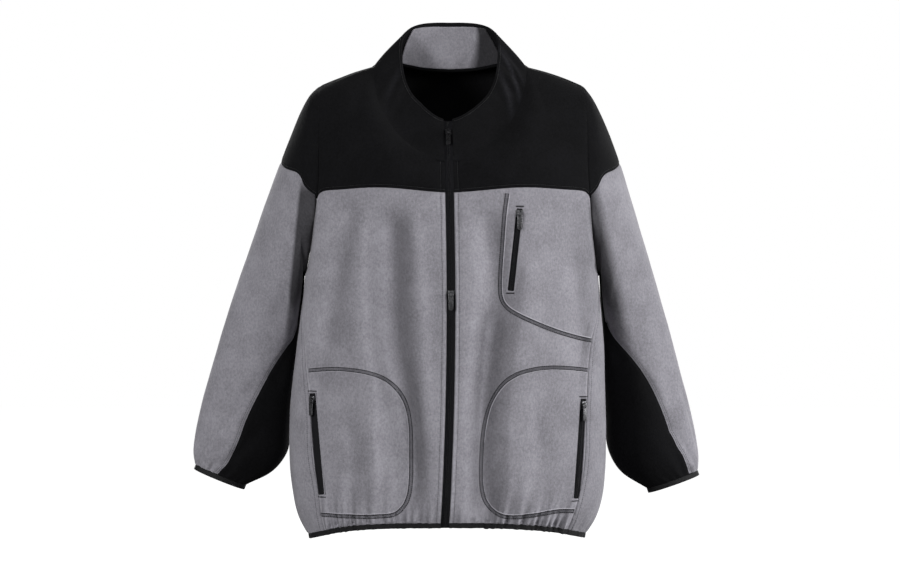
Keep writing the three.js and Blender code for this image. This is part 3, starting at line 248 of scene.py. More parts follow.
# Creases: line of (x, z), reach towards the zip, reach towards the side, and depth, which is
# negative for a ridge.
FRONT_CREASES = {
    RIGHT: [([(64, 36), (52, 120), (64, 200), (82, 300), (88, 400), (92, 480)], 17, 34, 11),
            ([(36, 120), (40, 260), (48, 400), (58, 480)], 15, 14, -4),
            ([(112, 60), (118, 240), (132, 360), (130, 480)], 20, 28, -3.5),
            ([(200, 210), (180, 330), (160, 420), (150, 490)], 14, 20, 3),
            ([(104, 50), (98, 110), (104, 190)], 13, 9, 2.5),
            ([(150, 60), (142, 120), (150, 170)], 14, 10, 2.2)],
    LEFT: [([(54, 30), (42, 110), (44, 180), (56, 290), (66, 360), (58, 480)], 34, 19, 11),
           ([(92, 60), (90, 180), (106, 320), (118, 420)], 15, 36, -4),
           ([(24, 60), (22, 200), (28, 330)], 9, 10, -1.5),
           ([(140, 340), (152, 420), (150, 500)], 20, 18, 2),
           ([(126, 60), (134, 120), (128, 200)], 12, 16, 2.4),
           ([(206, 230), (192, 330), (182, 440)], 18, 14, 2.4)],
}
BACK_CREASES = [              # the same over the whole back, x towards the left
    ([(-120, 40), (-96, 180), (-104, 330), (-120, 470)], 20, 34, 6),
    ([(84, 50), (102, 200), (92, 350), (112, 480)], 32, 18, 6),
    ([(-10, 60), (6, 220), (-4, 380)], 30, 26, 3),
    ([(-44, 90), (-52, 220), (-46, 300)], 16, 20, -2.5),
    ([(48, 120), (44, 240), (54, 360)], 18, 16, -2.5),
    ([(-196, 120), (-178, 260), (-150, 400)], 20, 16, 3.5),
    ([(192, 150), (172, 280), (150, 420)], 18, 22, 3.5),
    ([(30, 70), (36, 130), (28, 200)], 9, 13, 2),
]
# depth and reach of the armhole valley, and strength of its painted shadow
VALLEY = {"depth": 14, "reach": 14, "painted_shadow": 0.8}
PAINTED_SHADE_SLOPE = 0.55              # painted shade on slopes that face right, away from the key light, painted highlight on those facing left
CREASE_FADE = 55              # a crease fades in over this height from each of its ends


def creased(x, z, table):
    """Depth of long soft creases that run up the cloth. Each follows a smooth line, fades
    at both ends, and falls away as a bell curve, to a different reach on its two sides."""
    total = np.zeros(np.broadcast(x, z).shape)
    for line, inner, outer, depth in table:
        keys = np.array(line, float)
        away = x - through(z, keys[:, 1], keys[:, 0])
        reach = np.where(away < 0, inner, outer)
        ends = np.minimum(z - keys[0, 1], keys[-1, 1] - z) / CREASE_FADE + 0.5
        fade = np.clip(ends, 0, 1)
        total += depth * fade**2 * (3 - 2 * fade) * np.exp(-(away / reach)**2)
    return total


def armhole_valley(seam, away, shade):
    """The sleeve head rolls over the lower armhole seam, which lies deep between it and the
    body: cloth beside it is drawn back towards the middle of the jacket. Also gives the
    painted shadow in that valley, over a reach of its own."""
    rise = np.clip((479 - seam[..., 2]) / 30, 0, 1) * np.clip((seam[..., 2] - 330) / 60, 0, 1)
    near = VALLEY["depth"] * rise * np.exp(-away / VALLEY["reach"])
    painted_shadow = np.clip((508 - seam[..., 2]) / 20, 0, 1) * np.clip((seam[..., 2] - 330) / 60, 0, 1)
    return (stack(0, near * np.clip(-seam[..., 1] / 25, -1, 1), 0),
            VALLEY["painted_shadow"] * painted_shadow * np.exp(-(away / shade)**3))


def drawn_in(points):
    """The hem's elastic pulls the body in at both sides, where it also hangs a little lower."""
    x, z = points[..., 0], points[..., 2]
    near = np.clip(np.abs(x) / 215, 0, 1.05)**6 * np.exp(-z / 26)
    return stack(-10 * near * np.sign(x), 0, -4.5 * near)


def unevenness(points):
    """Slow waves of worn cloth: the sum of five sine waves that cross at odd angles."""
    total = np.zeros(points.shape[:-1])
    for length, across, deep, up, height, start in WAVES:
        total += height * np.sin(2 * np.pi * (points @ (across, deep, up)) / length + start)
    return total


def outward(points, flip):
    """Direction out of the cloth: square to both grid directions."""
    out = np.cross(np.gradient(points, axis=1), np.gradient(points, axis=0))
    out /= np.linalg.norm(out, axis=-1, keepdims=True)
    return -out if flip else out


def run(points, axis):
    """Distance along the cloth from its first line, added up from point to point."""
    steps = np.linalg.norm(np.diff(points[..., :3], axis=axis), axis=-1)
    return np.concatenate([np.zeros_like(np.take(steps, [0], axis)), np.cumsum(steps, axis)], axis)


def from_edge(points, edge):
    """Distance of each point from one edge of its piece, measured along the cloth."""
    across, along = run(points, 1), run(points, 0)
    return {"first": across, "last": across[:, -1:] - across,
            "low": along, "high": along[-1:] - along}[edge]


def gathers(points, edge, heights):
    """Depth of the small pleats of cloth drawn in by elastic: waves along the edge whose
    height differs from place to place, gone 40 mm from the edge."""
    along = run(points, 1)[0 if edge == "low" else -1][None]
    away = from_edge(points, edge)
    place, height = np.array(heights, float).T
    size = through(along, place, height)
    wave = np.sin(2 * np.pi * along / 10.5 + 1.1 * np.sin(along / 11.0) + 0.7 * np.sin(along / 29.0))
    broad = np.sin(2 * np.pi * along / 26 + 0.9 * np.sin(along / 17.0))
    inside = np.clip(np.minimum(from_edge(points, "first"), from_edge(points, "last")) / 12, 0, 1)
    pleats = wave * np.exp(-away / 13) + broad * np.exp(-away / 30)
    return inside * size * pleats * np.minimum(1, 0.4 + away / 5)


def dressed(points, flip, seams, rows=(), sunk=0, drawn=0):
    """The sewn piece: its cloth waves a little, rolls in at its seams, sinks under each row
    of stitches (an edge and a distance from it) and by any further depth given, and is then
    drawn aside with its neighbours. Its edges end just short of the seam line. Each point
    carries its direction outwards."""
    out = outward(points, flip)
    sink = 0.5 * unevenness(points) + sunk
    for name, depth in seams.items():
        sink = sink + depth * np.exp(-(from_edge(points, name) / SEAM_REACH)**2)
    for name, away in rows:
        sink = sink + STITCH_DIP * np.exp(-((from_edge(points, name) - away) / STITCH_REACH)**2)
    made = points - out * sink[..., None] + drawn
    for border, beside_it in ((0, 1), (-1, -2)):
        for turned in (made, made.transpose(1, 0, 2)):
            inwards = turned[beside_it] - turned[border]
            turned[border] += SEAM_GAP * inwards / np.linalg.norm(inwards, axis=-1, keepdims=True)
    return np.concatenate([made, outward(made, flip)], axis=-1)


def metres(points):
    """Points in metres below the neck, as a mesh takes them."""
    return ((points - (0, 0, NECK_HEIGHT)) / 1000).tolist()


def grid_mesh(name, points, flip, closed=False):
    """Mesh of a grid of points, in metres below the neck, with a UV map that holds the
    distances across and along the cloth in metres. A closed grid joins its last column to
    its first."""
    rows, columns = points.shape[:2]
    points = points[..., :3]
    at = np.arange(rows * columns).reshape(rows, columns)
    across, along = run(points, 1), run(points, 0)
    if closed:
        at = np.concatenate([at, at[:, :1]], axis=1)
        gap = np.linalg.norm(points[:, -1] - points[:, 0], axis=-1)
        across = np.concatenate([across, across[:, -1:] + gap[:, None]], axis=1)
        along = np.concatenate([along, along[:, :1]], axis=1)
    order = (0, 3, 2, 1) if flip else (0, 1, 2, 3)

    def cells(table):
        around = np.stack([table[:-1, :-1], table[:-1, 1:], table[1:, 1:], table[1:, :-1]], axis=2)
        return around[:, :, order].reshape(-1, 4)

    mesh = bpy.data.meshes.new(name)
    mesh.from_pydata(metres(points.reshape(-1, 3)), [], cells(at).tolist())
    uv = mesh.uv_layers.new(name="cloth")
    uv.data.foreach_set("uv", np.stack([cells(across), cells(along)], axis=-1).ravel() / 1000)
    mesh.shade_smooth()
    return mesh


def put(mesh, material, *nodes, body="jacket"):
    """The finished piece, which moves with its body and stands for its CAD nodes."""
    piece = bpy.data.objects.new(mesh.name, mesh)
    bpy.context.scene.collection.objects.link(piece)
    mesh.materials.append(material)
    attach(piece, body)
    if nodes:
        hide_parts(*nodes)
    return piece


def with_painted_light(mesh, nap):
    """Notes on each point of a mesh its painted light: painted highlight lightens the colour there, painted
    shade darkens it.
    """
    mesh.attributes.new("nap", "FLOAT", "POINT").data.foreach_set("value", nap.ravel())
    return mesh


def give_wall(piece, thickness):
    """Thickens a sheet away from its outer face."""
    wall = piece.modifiers.new("wall", "SOLIDIFY")
    wall.thickness = thickness / 1000
    wall.offset = -1


def cloth_piece(name, points, flip, material, node, thickness=CLOTH, nap=0.0):
    """A sewn piece as a thin sheet with its outer face on the grid."""
    mesh = with_painted_light(grid_mesh(name, points, flip), np.broadcast_to(nap, points.shape[:2]))
    piece = put(mesh, material, node)
    give_wall(piece, thickness)
    return piece


def beside(sheet, edge, away):
    """Line on the cloth at a distance from one of its edges, read between the two grid
    lines on either side of that distance."""
    if edge in ("low", "high"):
        sheet = sheet.transpose(1, 0, 2)
    if edge in ("last", "high"):
        sheet = sheet[:, ::-1]
    far = run(sheet, 1)
    after = np.clip((far < away).sum(axis=1), 1, sheet.shape[1] - 1)
    line = np.arange(len(sheet))
    share = (away - far[line, after - 1]) / (far[line, after] - far[line, after - 1])
    return sheet[line, after - 1] + (sheet[line, after] - sheet[line, after - 1]) * share[:, None]


def evenly(path, places):
    """Points of a path, with all they carry, at the given distances from its start."""
    far = run(path[None], 1)[0]
    return np.stack([np.interp(places, far, path[:, part]) for part in range(path.shape[1])], axis=-1)


def threads(starts, ends, radius, bow=0.35):
    """Stitches as short five-sided threads, each bowed out of the cloth in its middle and
    thinner at its ends, which sink in. Gives points and faces."""
    ahead = ends[:, :3] - starts[:, :3]
    ahead /= np.linalg.norm(ahead, axis=-1, keepdims=True)
    out = (starts[:, 3:] + ends[:, 3:]) / 2
    out -= (out * ahead).sum(axis=-1, keepdims=True) * ahead
    out /= np.linalg.norm(out, axis=-1, keepdims=True)
    side = np.cross(ahead, out)
    turn = np.radians(np.arange(5) * 72 + 18)
    ring = (np.cos(turn)[:, None, None] * side + np.sin(turn)[:, None, None] * out) * radius
    middle = (starts[:, :3] + ends[:, :3]) / 2
    rings = [starts[:, :3] - out * 0.1 + 0.7 * ring, middle + out * bow + ring,
             ends[:, :3] - out * 0.1 + 0.7 * ring]
    points = np.stack(rings).transpose(2, 0, 1, 3).reshape(-1, 3)
    at = (np.arange(len(starts)) * 15)[:, None, None]
    here = np.arange(5)
    after = (here + 1) % 5
    band = np.stack([here, after, after + 5, here + 5], axis=-1)
    sides = at + np.concatenate([band, band + 5])[None]
    caps = at + np.stack([here[::-1], here + 10])[None]
    return points, sides.reshape(-1, 4), caps.reshape(-1, 5)


def thread_piece(name, sewn, material):
    """One object for many threads, given as points, four-sided faces and end faces."""
    count = np.cumsum([0] + [len(points) for points, _, _ in sewn])
    faces = []
    for start, (_, sides, caps) in zip(count, sewn):
        faces += (sides + start).tolist() + (caps + start).tolist()
    mesh = bpy.data.meshes.new(name)
    mesh.from_pydata(metres(np.concatenate([points for points, _, _ in sewn])), [], faces)
    mesh.shade_smooth()
    return put(mesh, material)


def stitches(path, radius=None):
    """A row of stitches along a path."""
    pitch, length = THREAD["pitch"], THREAD["length"]
    places = np.arange(1, run(path[None], 1)[0, -1] - pitch, pitch)
    return threads(evenly(path, places), evenly(path, places + length), radius or THREAD["radius"])


def shader_inputs(material):
    return material.node_tree.nodes["Principled BSDF"].inputs


def new_material(name, colour, roughness, slot=None, specular=0.5):
    """Plain material, marked with the slot of its own name or another's."""
    material = bpy.data.materials.new(name)
    material["slot"] = slot or name
    material.use_nodes = True
    inputs = shader_inputs(material)
    inputs["Base Color"].default_value = (*colour, 1)
    inputs["Roughness"].default_value = roughness
    inputs["Specular IOR Level"].default_value = specular
    return material


def add(material, kind, sockets=(), **settings):
    """New node: settings go on the node, and sockets hold numbers or other nodes' outputs."""
    node = material.node_tree.nodes.new("ShaderNode" + kind)
    for name, value in settings.items():
        setattr(node, name, value)
    for name, value in dict(sockets).items():
        if isinstance(value, bpy.types.NodeSocket):
            material.node_tree.links.new(value, node.inputs[name])
        else:
            node.inputs[name].default_value = value
    return node


def link(material, output, name):
    material.node_tree.links.new(output, shader_inputs(material)[name])


def noise(material, place, scale, detail=3.0, stretch=(1, 1, 1)):
    """Noise of so many features a metre, drawn out along an axis whose stretch is small."""
    turned = add(material, "Mapping", {"Vector": place, "Scale": stretch})
    sockets = {"Vector": turned.outputs[0], "Scale": scale, "Detail": detail}
    return add(material, "TexNoise", sockets).outputs[0]


def fleece(name, colour, contrast, sheen):
    """Velvet fleece: short dense pile over a fine knit. Fibres about a millimetre apart give
    it a heathered look, broad brush marks shade it, and the pile catches light at its rim.
    Its colour is also scaled by painted shade and painted highlights that each mesh carries."""
    material = new_material(name, colour, 0.95, specular=0.15)
    shader_inputs(material)["Sheen Weight"].default_value = sheen
    shader_inputs(material)["Sheen Roughness"].default_value = 0.5
    place = add(material, "TexCoord").outputs["Object"]
    fibre = noise(material, place, 900, 3)
    patches = noise(material, place, 260, 2)
    brush = noise(material, place, 26, 2)
    strokes = noise(material, place, 420, 2, (1, 1, 0.55))
    grain = add(material, "Math", {0: fibre, 1: strokes}, operation="ADD").outputs[0]
    broad = add(material, "Math", {0: patches, 1: brush}, operation="ADD").outputs[0]
    shade = add(material, "Math", {0: grain, 1: broad}, operation="ADD").outputs[0]
    ramp = add(material, "MapRange", {"Value": shade, "From Min": 1.6, "From Max": 2.4,
                                      "To Min": 1 - contrast, "To Max": 1 + contrast}).outputs[0]
    # painted light from the mesh: painted shade darkens the colour, painted highlight lightens it
    nap = add(material, "Attribute", attribute_name="nap").outputs["Fac"]
    shaded = add(material, "Math", {0: nap, 1: 1.0}, operation="ADD").outputs[0]
    level = add(material, "Math", {0: ramp, 1: shaded}, operation="MULTIPLY").outputs[0]
    tint = add(material, "VectorMath", {0: colour, "Scale": level}, operation="SCALE").outputs[0]
    link(material, tint, "Base Color")
    bump = add(material, "Bump", {"Height": grain, "Strength": 0.5, "Distance": 0.0006})
    link(material, bump.outputs[0], "Normal")
    return material


grey_fleece = fleece("grey_fleece", GREY, 0.21, 0.2)
black_fleece = fleece("black_fleece", BLACK, 0.35, 0.02)
grey_thread = new_material("grey_thread", (0.05, 0.05, 0.056), 0.6, "grey_fleece")
HEM_GATHERS = {               # distance from the zip, height of the pleats
    RIGHT: [(0, 0.6), (25, 2.2), (60, 2.6), (95, 1.4), (130, 3.0), (165, 3.6), (200, 2.8), (240, 1.8)],
    LEFT: [(0, 0.6), (20, 1.2), (50, 2.2), (80, 3.4), (110, 2.2), (150, 3.0), (190, 3.4), (240, 1.8)],
}
sewn_fronts, front_pieces = {}, {}
front_threads = []
for side in (RIGHT, LEFT):
    plain = fronts[side].copy()
    x, z = side * plain[..., 0], plain[..., 2]
    across = np.linspace(0, 1, plain.shape[1])[None]
    fade = np.clip(7 * np.minimum(across, 1 - across), 0, 1) * np.clip((YOKE_HEIGHT - z) / 30, 0, 1)
    sunk = fade * creased(x, z, FRONT_CREASES[side])
    plain[..., 1] += sunk
    pleats = gathers(plain, "low", HEM_GATHERS[side])
    # painted shade on crease and pleat slopes that face right, away from the key light, and painted
    # highlight on those facing left; painted shadow beside the armhole
    slope = np.gradient(sunk + fade * trough(x, z, FRONT_FOLDS[side]) + 0.9 * pleats, axis=1)
    slope /= np.gradient(plain[..., 0], axis=1)
    drawn, painted_shadow = armhole_valley(plain[:, -1:], from_edge(plain, "last"), 6)
    drawn = drawn + drawn_in(plain)
    nap = np.clip(PAINTED_SHADE_SLOPE * slope, -0.45, 0.22) - painted_shadow
    # painted highlight a little in from the zip edge and the side seam, painted shade right at both edges
    for edge, away in (("first", 2.0), ("last", 3.5)):
        turned = from_edge(plain, edge)
        nap += 0.3 * np.exp(-((turned - away) / 1.3)**2) - 0.4 * np.exp(-(turned / 1.2)**2)
    sewn = dressed(plain, side == RIGHT, {"last": SEAM_DIP, "high": SEAM_DIP}, [("first", ZIP_ROW)],
                   pleats, drawn)
    sewn_fronts[side] = sewn
    front_pieces[side] = cloth_piece(f"front_panel_{side_name(side)}", sewn, side == RIGHT, grey_fleece,
                                     f"front_{side_name(side)}", nap=nap)
    front_threads.append(stitches(beside(sewn, "first", ZIP_ROW)))
thread_piece("front_stitches", front_threads, grey_thread)

# ---------------------------------------------------------------- zipped pockets
# Three pockets lie inside the fronts. Each has a slot with rolled edges, a closed coil zip on
# woven tape behind it, and a bag whose edge is sewn to the front by a flat two-needle seam.
# The two side slots end on the side seam.
POCKETS = {                   # slot from (low x, low z) to (high x, high z), x from the middle
    "pocket_right": {"side": RIGHT, "slot": (192.7, 66, 206.5, 219), "width": 14.4,
                     "inner": 58, "outer": 190, "bottom": 37, "top": 249, "fall": 0,
                     "bottom_round": (30, 30), "top_round": (46, 44)},
    "pocket_left": {"side": LEFT, "slot": (189.4, 60, 200.2, 211), "width": 14.4,
                    "inner": 46, "outer": 186, "bottom": 38, "top": 258, "fall": 0,
                    "bottom_round": (30, 30), "top_round": (76, 110)},
    "chest_pocket": {"side": LEFT, "slot": (89.5, 370, 103.5, 494), "width": 11.6,
                     "inner": 74, "outer": 200, "bottom": 352, "top": 508, "fall": 40,
                     "bottom_round": (14, 14), "top_round": (4, 4)},
}
FLAT_SEAMS = {                # middle line of each bag's seam, x from the middle and z
    "pocket_right": [(212, 252), (175, 255), (148, 254), (118, 249), (96, 240), (79, 226), (67, 208),
                     (60.5, 187), (58, 165), (57.5, 130), (58, 90), (61, 68), (68, 52), (82, 40),
                     (110, 36.5), (150, 36), (200, 37.5)],
    "pocket_left": [(212, 252), (180, 256), (150, 257.5), (124, 255), (98, 247.5), (77, 232), (60, 204),
                    (50.5, 169), (46.7, 129), (46, 90), (51, 62), (65, 44), (85, 36), (124, 38), (160, 43),
                    (195, 42)],
    "chest_pocket": [(84.6, 516), (80.5, 485), (77.2, 437), (74.6, 400), (74.4, 368), (79, 353), (91, 341),
                     (123, 325), (160, 310.5), (190, 301.5), (215, 296)],
}
TAPE, BAG, BAG_DEPTH = 0.9, 1.2, 5.4
TAPE_HIDDEN, TAPE_MARGIN = 4.5, 0.6    # tape past the slot's inner edge, and short of its outer one
TAPE_HALF = 0.53              # its reach up and down from the middle, as a share of the slot
TAPE_DEPTH = CLOTH + 0.25
SLOT_ROUND = 3.0              # corner radius of a slot
ROLLED = 1.1                  # radius of the slot's rolled edge
COIL = {"pitch": 1.55, "reach": 2.3, "radius": 0.5}
FLAT_SEAM = {"half": 2.3, "ladder": 1.7, "welt": 3.7, "welt_radius": 0.95}


def between(table, place):
    """Values of a table read between its lines at places that need not be whole."""
    low = np.clip(np.floor(place).astype(int), 0, len(table) - 2)
    share = (place - low).reshape((-1,) + (1,) * (table.ndim - 1))
    return table[low] + (table[low + 1] - table[low]) * share


def place_of(rising, wanted):
    """Where in each rising line of numbers a wanted number lies, counted in its steps."""
    after = np.clip((rising < wanted[:, None]).sum(axis=1), 1, rising.shape[1] - 1)
    line = np.arange(len(wanted))
    below = rising[line, after - 1]
    return after - 1 + (wanted - below) / (rising[line, after] - below)


def on_front(side, x, z):
    """Points of the sewn front, with their directions outwards, at distances x from the
    middle and heights z. Each coordinate is searched in turn along the other's line."""
    sheet = sewn_fronts[side]
    x, z = (np.asarray(part, float).ravel() for part in np.broadcast_arrays(x, z))
    column = np.full(x.shape, sheet.shape[1] / 2)
    for _ in range(6):
        row = place_of(between(sheet[..., 2].T, column), z)
        column = np.clip(place_of(between(side * sheet[..., 0], row), x), 0, sheet.shape[1] - 1)
    low = np.clip(np.floor(column).astype(int), 0, sheet.shape[1] - 2)
    lines_there = between(sheet, row)
    at = np.arange(len(x))
    share = (column - low)[:, None]
    return lines_there[at, low] * (1 - share) + lines_there[at, low + 1] * share


def smooth_line(keys, step):
    """Even points on a smooth curve through the keys, which are taken by the distance
    between them."""
    keys = np.array(keys, float)
    far = np.concatenate([[0], np.cumsum(np.hypot(*np.diff(keys, axis=0).T))])
    places = np.linspace(0, far[-1], int(far[-1] / step))
    return np.stack([through(places, far, keys[:, 0]), through(places, far, keys[:, 1])], axis=-1)


def aside(path, away, lift=0.0):
    """The path moved sideways on its cloth, to the left of its own direction seen from
    outside, and lifted off it."""
    ahead = np.gradient(path[:, :3], axis=0)
    left = np.cross(path[:, 3:], ahead)
    left /= np.linalg.norm(left, axis=-1, keepdims=True)
    return np.concatenate([path[:, :3] + left * away + path[:, 3:] * lift, path[:, 3:]], axis=-1)


def piping(path, radius, sides=8, closed=False):
    """Round tube along a path on cloth, tapering to its ends unless it is closed."""
    ahead = np.gradient(path[:, :3], axis=0)
    if closed:
        ahead = np.roll(path[:, :3], -1, axis=0) - np.roll(path[:, :3], 1, axis=0)
    ahead /= np.linalg.norm(ahead, axis=-1, keepdims=True)
    out = path[:, 3:]
    side = np.cross(ahead, out)
    turn = np.arange(sides) * 2 * np.pi / sides
    size = np.full(len(path), radius)
    if not closed:
        size[[0, -1]] = 0.02
    ring = np.cos(turn)[None, :, None] * side[:, None] + np.sin(turn)[None, :, None] * out[:, None]
    grid = path[:, None, :3] + ring * size[:, None, None]
    return np.concatenate([grid, grid[:1]]) if closed else grid


def slot_frame(pocket):
    """Middle of a slot, its directions across, out and up, and its length."""
    low_x, low_z, high_x, high_z = pocket["slot"]
    low, high, middle = on_front(pocket["side"], [low_x, high_x, (low_x + high_x) / 2],
                                 [low_z, high_z, (low_z + high_z) / 2])
    up = high[:3] - low[:3]
    length = np.linalg.norm(up)
    up /= length
    out = middle[3:] - up * (middle[3:] @ up)
    out /= np.linalg.norm(out)
    return middle[:3], np.cross(out, up), out, up, length


def slot_outline(pocket, length, grown=0.0):
    """Rounded rectangle of a slot in its own plane, counted from its middle."""
    half = np.array([pocket["width"] / 2, length / 2]) + grown
    turn = np.radians(np.arange(0, 91, 15))
    arc = np.stack([np.cos(turn), np.sin(turn)], axis=-1) * SLOT_ROUND
    corner = half - SLOT_ROUND + arc
    return np.concatenate([corner, corner[::-1] * (-1, 1), corner * (-1, -1), corner[::-1] * (1, -1)])


def filled_in(outline, step):
    """A closed outline with points added about one step apart."""
    ends = np.roll(outline, -1, axis=0)
    counts = [max(1, int(np.hypot(*(b - a)) / step)) for a, b in zip(outline, ends)]
    return np.concatenate([a + (b - a) * np.linspace(0, 1, count, endpoint=False)[:, None]
                           for a, b, count in zip(outline, ends, counts)])


def beside_slot(pocket, a, b):
    """Points of the front at distances a across and b up from the middle of a slot."""
    middle, across, _, up, _ = slot_frame(pocket)
    at = middle + np.asarray(a, float)[..., None] * across + np.asarray(b, float)[..., None] * up
    side = pocket["side"]
    return on_front(side, side * at[..., 0], at[..., 2]).reshape(at.shape[:-1] + (6,))


def bar_tack(pocket, end):
    """Close short stitches side by side across one end of a slot, to hold it from tearing."""
    low_x, low_z, high_x, high_z = pocket["slot"]
    lean = (high_x - low_x) / (high_z - low_z)
    far = np.array([1.2, 3.4]) * end + (high_z if end > 0 else low_z)
    across = np.arange(-0.5, 0.51, 0.07)[:, None] * pocket["width"]
    ends = on_front(pocket["side"], low_x + (far - low_z) * lean + across, far + 0 * across)
    return threads(ends[::2], ends[1::2], 0.4, 0.5)


def cut_slots(front, side):
    """Cuts the slots out of a front for good, once its wall has been given its thickness."""
    for pocket in POCKETS.values():
        if pocket["side"] != side:
            continue
        middle, across, out, up, length = slot_frame(pocket)
        outline = slot_outline(pocket, length)
        count = len(outline)
        rim = middle + outline[:, :1] * across + outline[:, 1:] * up
        ends = np.concatenate([rim + out * 12, rim - out * 12])
        faces = [[a, (a + 1) % count, (a + 1) % count + count, a + count] for a in range(count)]
        mesh = bpy.data.meshes.new("slot_cutter")
        mesh.from_pydata(metres(ends), [], faces + [list(range(count))[::-1], list(range(count, 2 * count))])
        cutter = bpy.data.objects.new("slot_cutter", mesh)
        bpy.context.scene.collection.objects.link(cutter)
        cut = front.modifiers.new("slot", "BOOLEAN")
        cut.object = cutter
        cut.operation = "DIFFERENCE"
        finished = front.evaluated_get(bpy.context.evaluated_depsgraph_get())
        whole = bpy.data.meshes.new_from_object(finished)
        front.modifiers.clear()
        front.data = whole
        bpy.data.objects.remove(cutter)


def tube_piece(name, grids, material, nap=0.0):
    """One object for several tubes."""
    meshes = [grid_mesh(name, grid, False, closed=True) for grid in grids]
    piece = put(meshes[0], material)
    for mesh in meshes[1:]:
        whole = bmesh.new()
        whole.from_mesh(piece.data)
        whole.from_mesh(mesh)
        whole.to_mesh(piece.data)
        whole.free()
        bpy.data.meshes.remove(mesh)
    with_painted_light(piece.data, np.full(len(piece.data.vertices), nap))
    piece.data.shade_smooth()
    return piece


def rib(material, place, direction, wave, strength, height):
    """Fine ribs of woven tape or elastic, as bump across one direction."""
    vector = add(material, "TexCoord").outputs[place]
    ribs = add(material, "TexWave", {"Vector": vector, **wave}, bands_direction=direction).outputs["Fac"]
    bump = add(material, "Bump", {"Height": ribs, "Strength": strength, "Distance": height})
    link(material, bump.outputs[0], "Normal")


zip_tape = new_material("zip_tape", (0.0075, 0.0075, 0.0095), 0.8, specular=0.2)
rib(zip_tape, "Object", "Z", {"Scale": 320.0, "Distortion": 0.4}, 0.5, 0.0002)
coil_black = new_material("coil_black", (0.01, 0.01, 0.012), 0.42, "zip_tape", 0.3)
seam_thread = new_material("seam_thread", (0.03, 0.03, 0.038), 0.65, "grey_fleece")
needle_thread = new_material("needle_thread", (0.011, 0.011, 0.014), 0.65, "grey_fleece")
edge_threads, rungs_sewn, pocket_coils, rolled_edges, welts = [], [], [], [], []
for name, pocket in POCKETS.items():
    side = pocket["side"]
    _, across, _, _, length = slot_frame(pocket)
    on_seam = name != "chest_pocket"
    outwards = side * np.sign(across[0])
    outline = filled_in(slot_outline(pocket, length), 3.0)
    if on_seam:
        kept = outline[:, 0] * outwards < pocket["width"] / 2 - 1.5
        first = np.flatnonzero(kept & ~np.roll(kept, 1))[0]
        outline = np.roll(outline, -first, axis=0)[:kept.sum()]
    rim = aside(beside_slot(pocket, outline[:, 0], outline[:, 1]), 0, -CLOTH / 2)
    rolled_edges.append(piping(rim, ROLLED, closed=not on_seam))
    half = pocket["width"] / 2
    a = np.linspace(-half - TAPE_HIDDEN, half - TAPE_MARGIN, 12) * outwards
    b = np.linspace(-TAPE_HALF, TAPE_HALF, 50) * length
    tape = beside_slot(pocket, *np.meshgrid(a, b))
    tape = tape[..., :3] - tape[..., 3:] * TAPE_DEPTH
    mesh = grid_mesh(f"{name}_zip", tape, outwards * side * across[0] < 0)
    give_wall(put(mesh, zip_tape, f"{name}_tape"), TAPE)
    b = np.arange(-length / 2 + 1.5, length / 2 - 1.5, COIL["pitch"])
    for lean, reach in ((0.35, COIL["reach"]), (-0.35, -COIL["reach"])):
        near = aside(beside_slot(pocket, 0 * b + 0.1 * np.sign(reach), b), 0, -TAPE_DEPTH + 0.2)
        far = aside(beside_slot(pocket, 0 * b + reach, b + lean), 0, -TAPE_DEPTH + 0.2)
        pocket_coils.append(threads(near, far, COIL["radius"], 0.3))
    share = (1 - np.cos(np.linspace(0, np.pi, 50))) / 2
    height = (pocket["top"] - pocket["bottom"]) * share
    edge = np.full(height.shape, float(pocket["inner"]))
    for (wide, high), away in ((pocket["bottom_round"], height), (pocket["top_round"], height[::-1])):
        edge += wide * (1 - np.sqrt(1 - np.clip(1 - away / high, 0, 1)**2))
    place = np.linspace(0, 1, 40)
    x = edge[:, None] + (pocket["outer"] - edge[:, None]) * place
    z = pocket["bottom"] + height[:, None] - pocket["fall"] * place * (1 - share[:, None])
    bag = on_front(side, x, z).reshape(x.shape + (6,))
    bag[..., :3] -= bag[..., 3:] * BAG_DEPTH
    cloth_piece(f"{name}_pouch", bag, side == RIGHT, black_fleece, f"{name}_bag", BAG)
    seam = smooth_line(FLAT_SEAMS[name], 1.0)
    seam = on_front(side, seam[:, 0], seam[:, 1])
    limit = sewn_fronts[side][:, -3]
    edge_there = np.interp(seam[:, 2], limit[:, 2], side * limit[:, 0])
    seam = seam[side * seam[:, 0] < edge_there]
    edge_threads += [bar_tack(pocket, end) for end in (-1, 1)]
    for away in (-FLAT_SEAM["half"], FLAT_SEAM["half"]):
        edge_threads.append(stitches(aside(seam, away, 0.35), 0.75))
    rungs = evenly(seam, np.arange(1, run(seam[None], 1)[0, -1] - 1, FLAT_SEAM["ladder"]))
    half = FLAT_SEAM["half"] + 0.4
    rungs_sewn.append(threads(aside(rungs, half), aside(rungs, -half), 0.36, 0.25))
    welt = aside(seam[::3], side * FLAT_SEAM["welt"], -0.3)
    welts.append(piping(welt, FLAT_SEAM["welt_radius"], 7))
thread_piece("flat_seam_rungs", rungs_sewn, seam_thread)
thread_piece("flat_seam_rows", edge_threads, needle_thread)
thread_piece("pocket_coils", pocket_coils, coil_black)
tube_piece("slot_edges", rolled_edges, grey_fleece)
# the welts carry a painted highlight along their length
tube_piece("bag_welts", welts, grey_fleece, 0.4)
for side, front in front_pieces.items():
    cut_slots(front, side)

# ---------------------------------------------------------------- grey back
# One back panel of the same fleece, from side seam to side seam and from the hem to the
# back yoke. It has no centre seam.
BACK_PROFILE = {"z": [395, 460, 520, 600, 665, 712], "y": [122, 126, 124, 110, 90, 73]}
BACK_YOKE_HEIGHT = 520


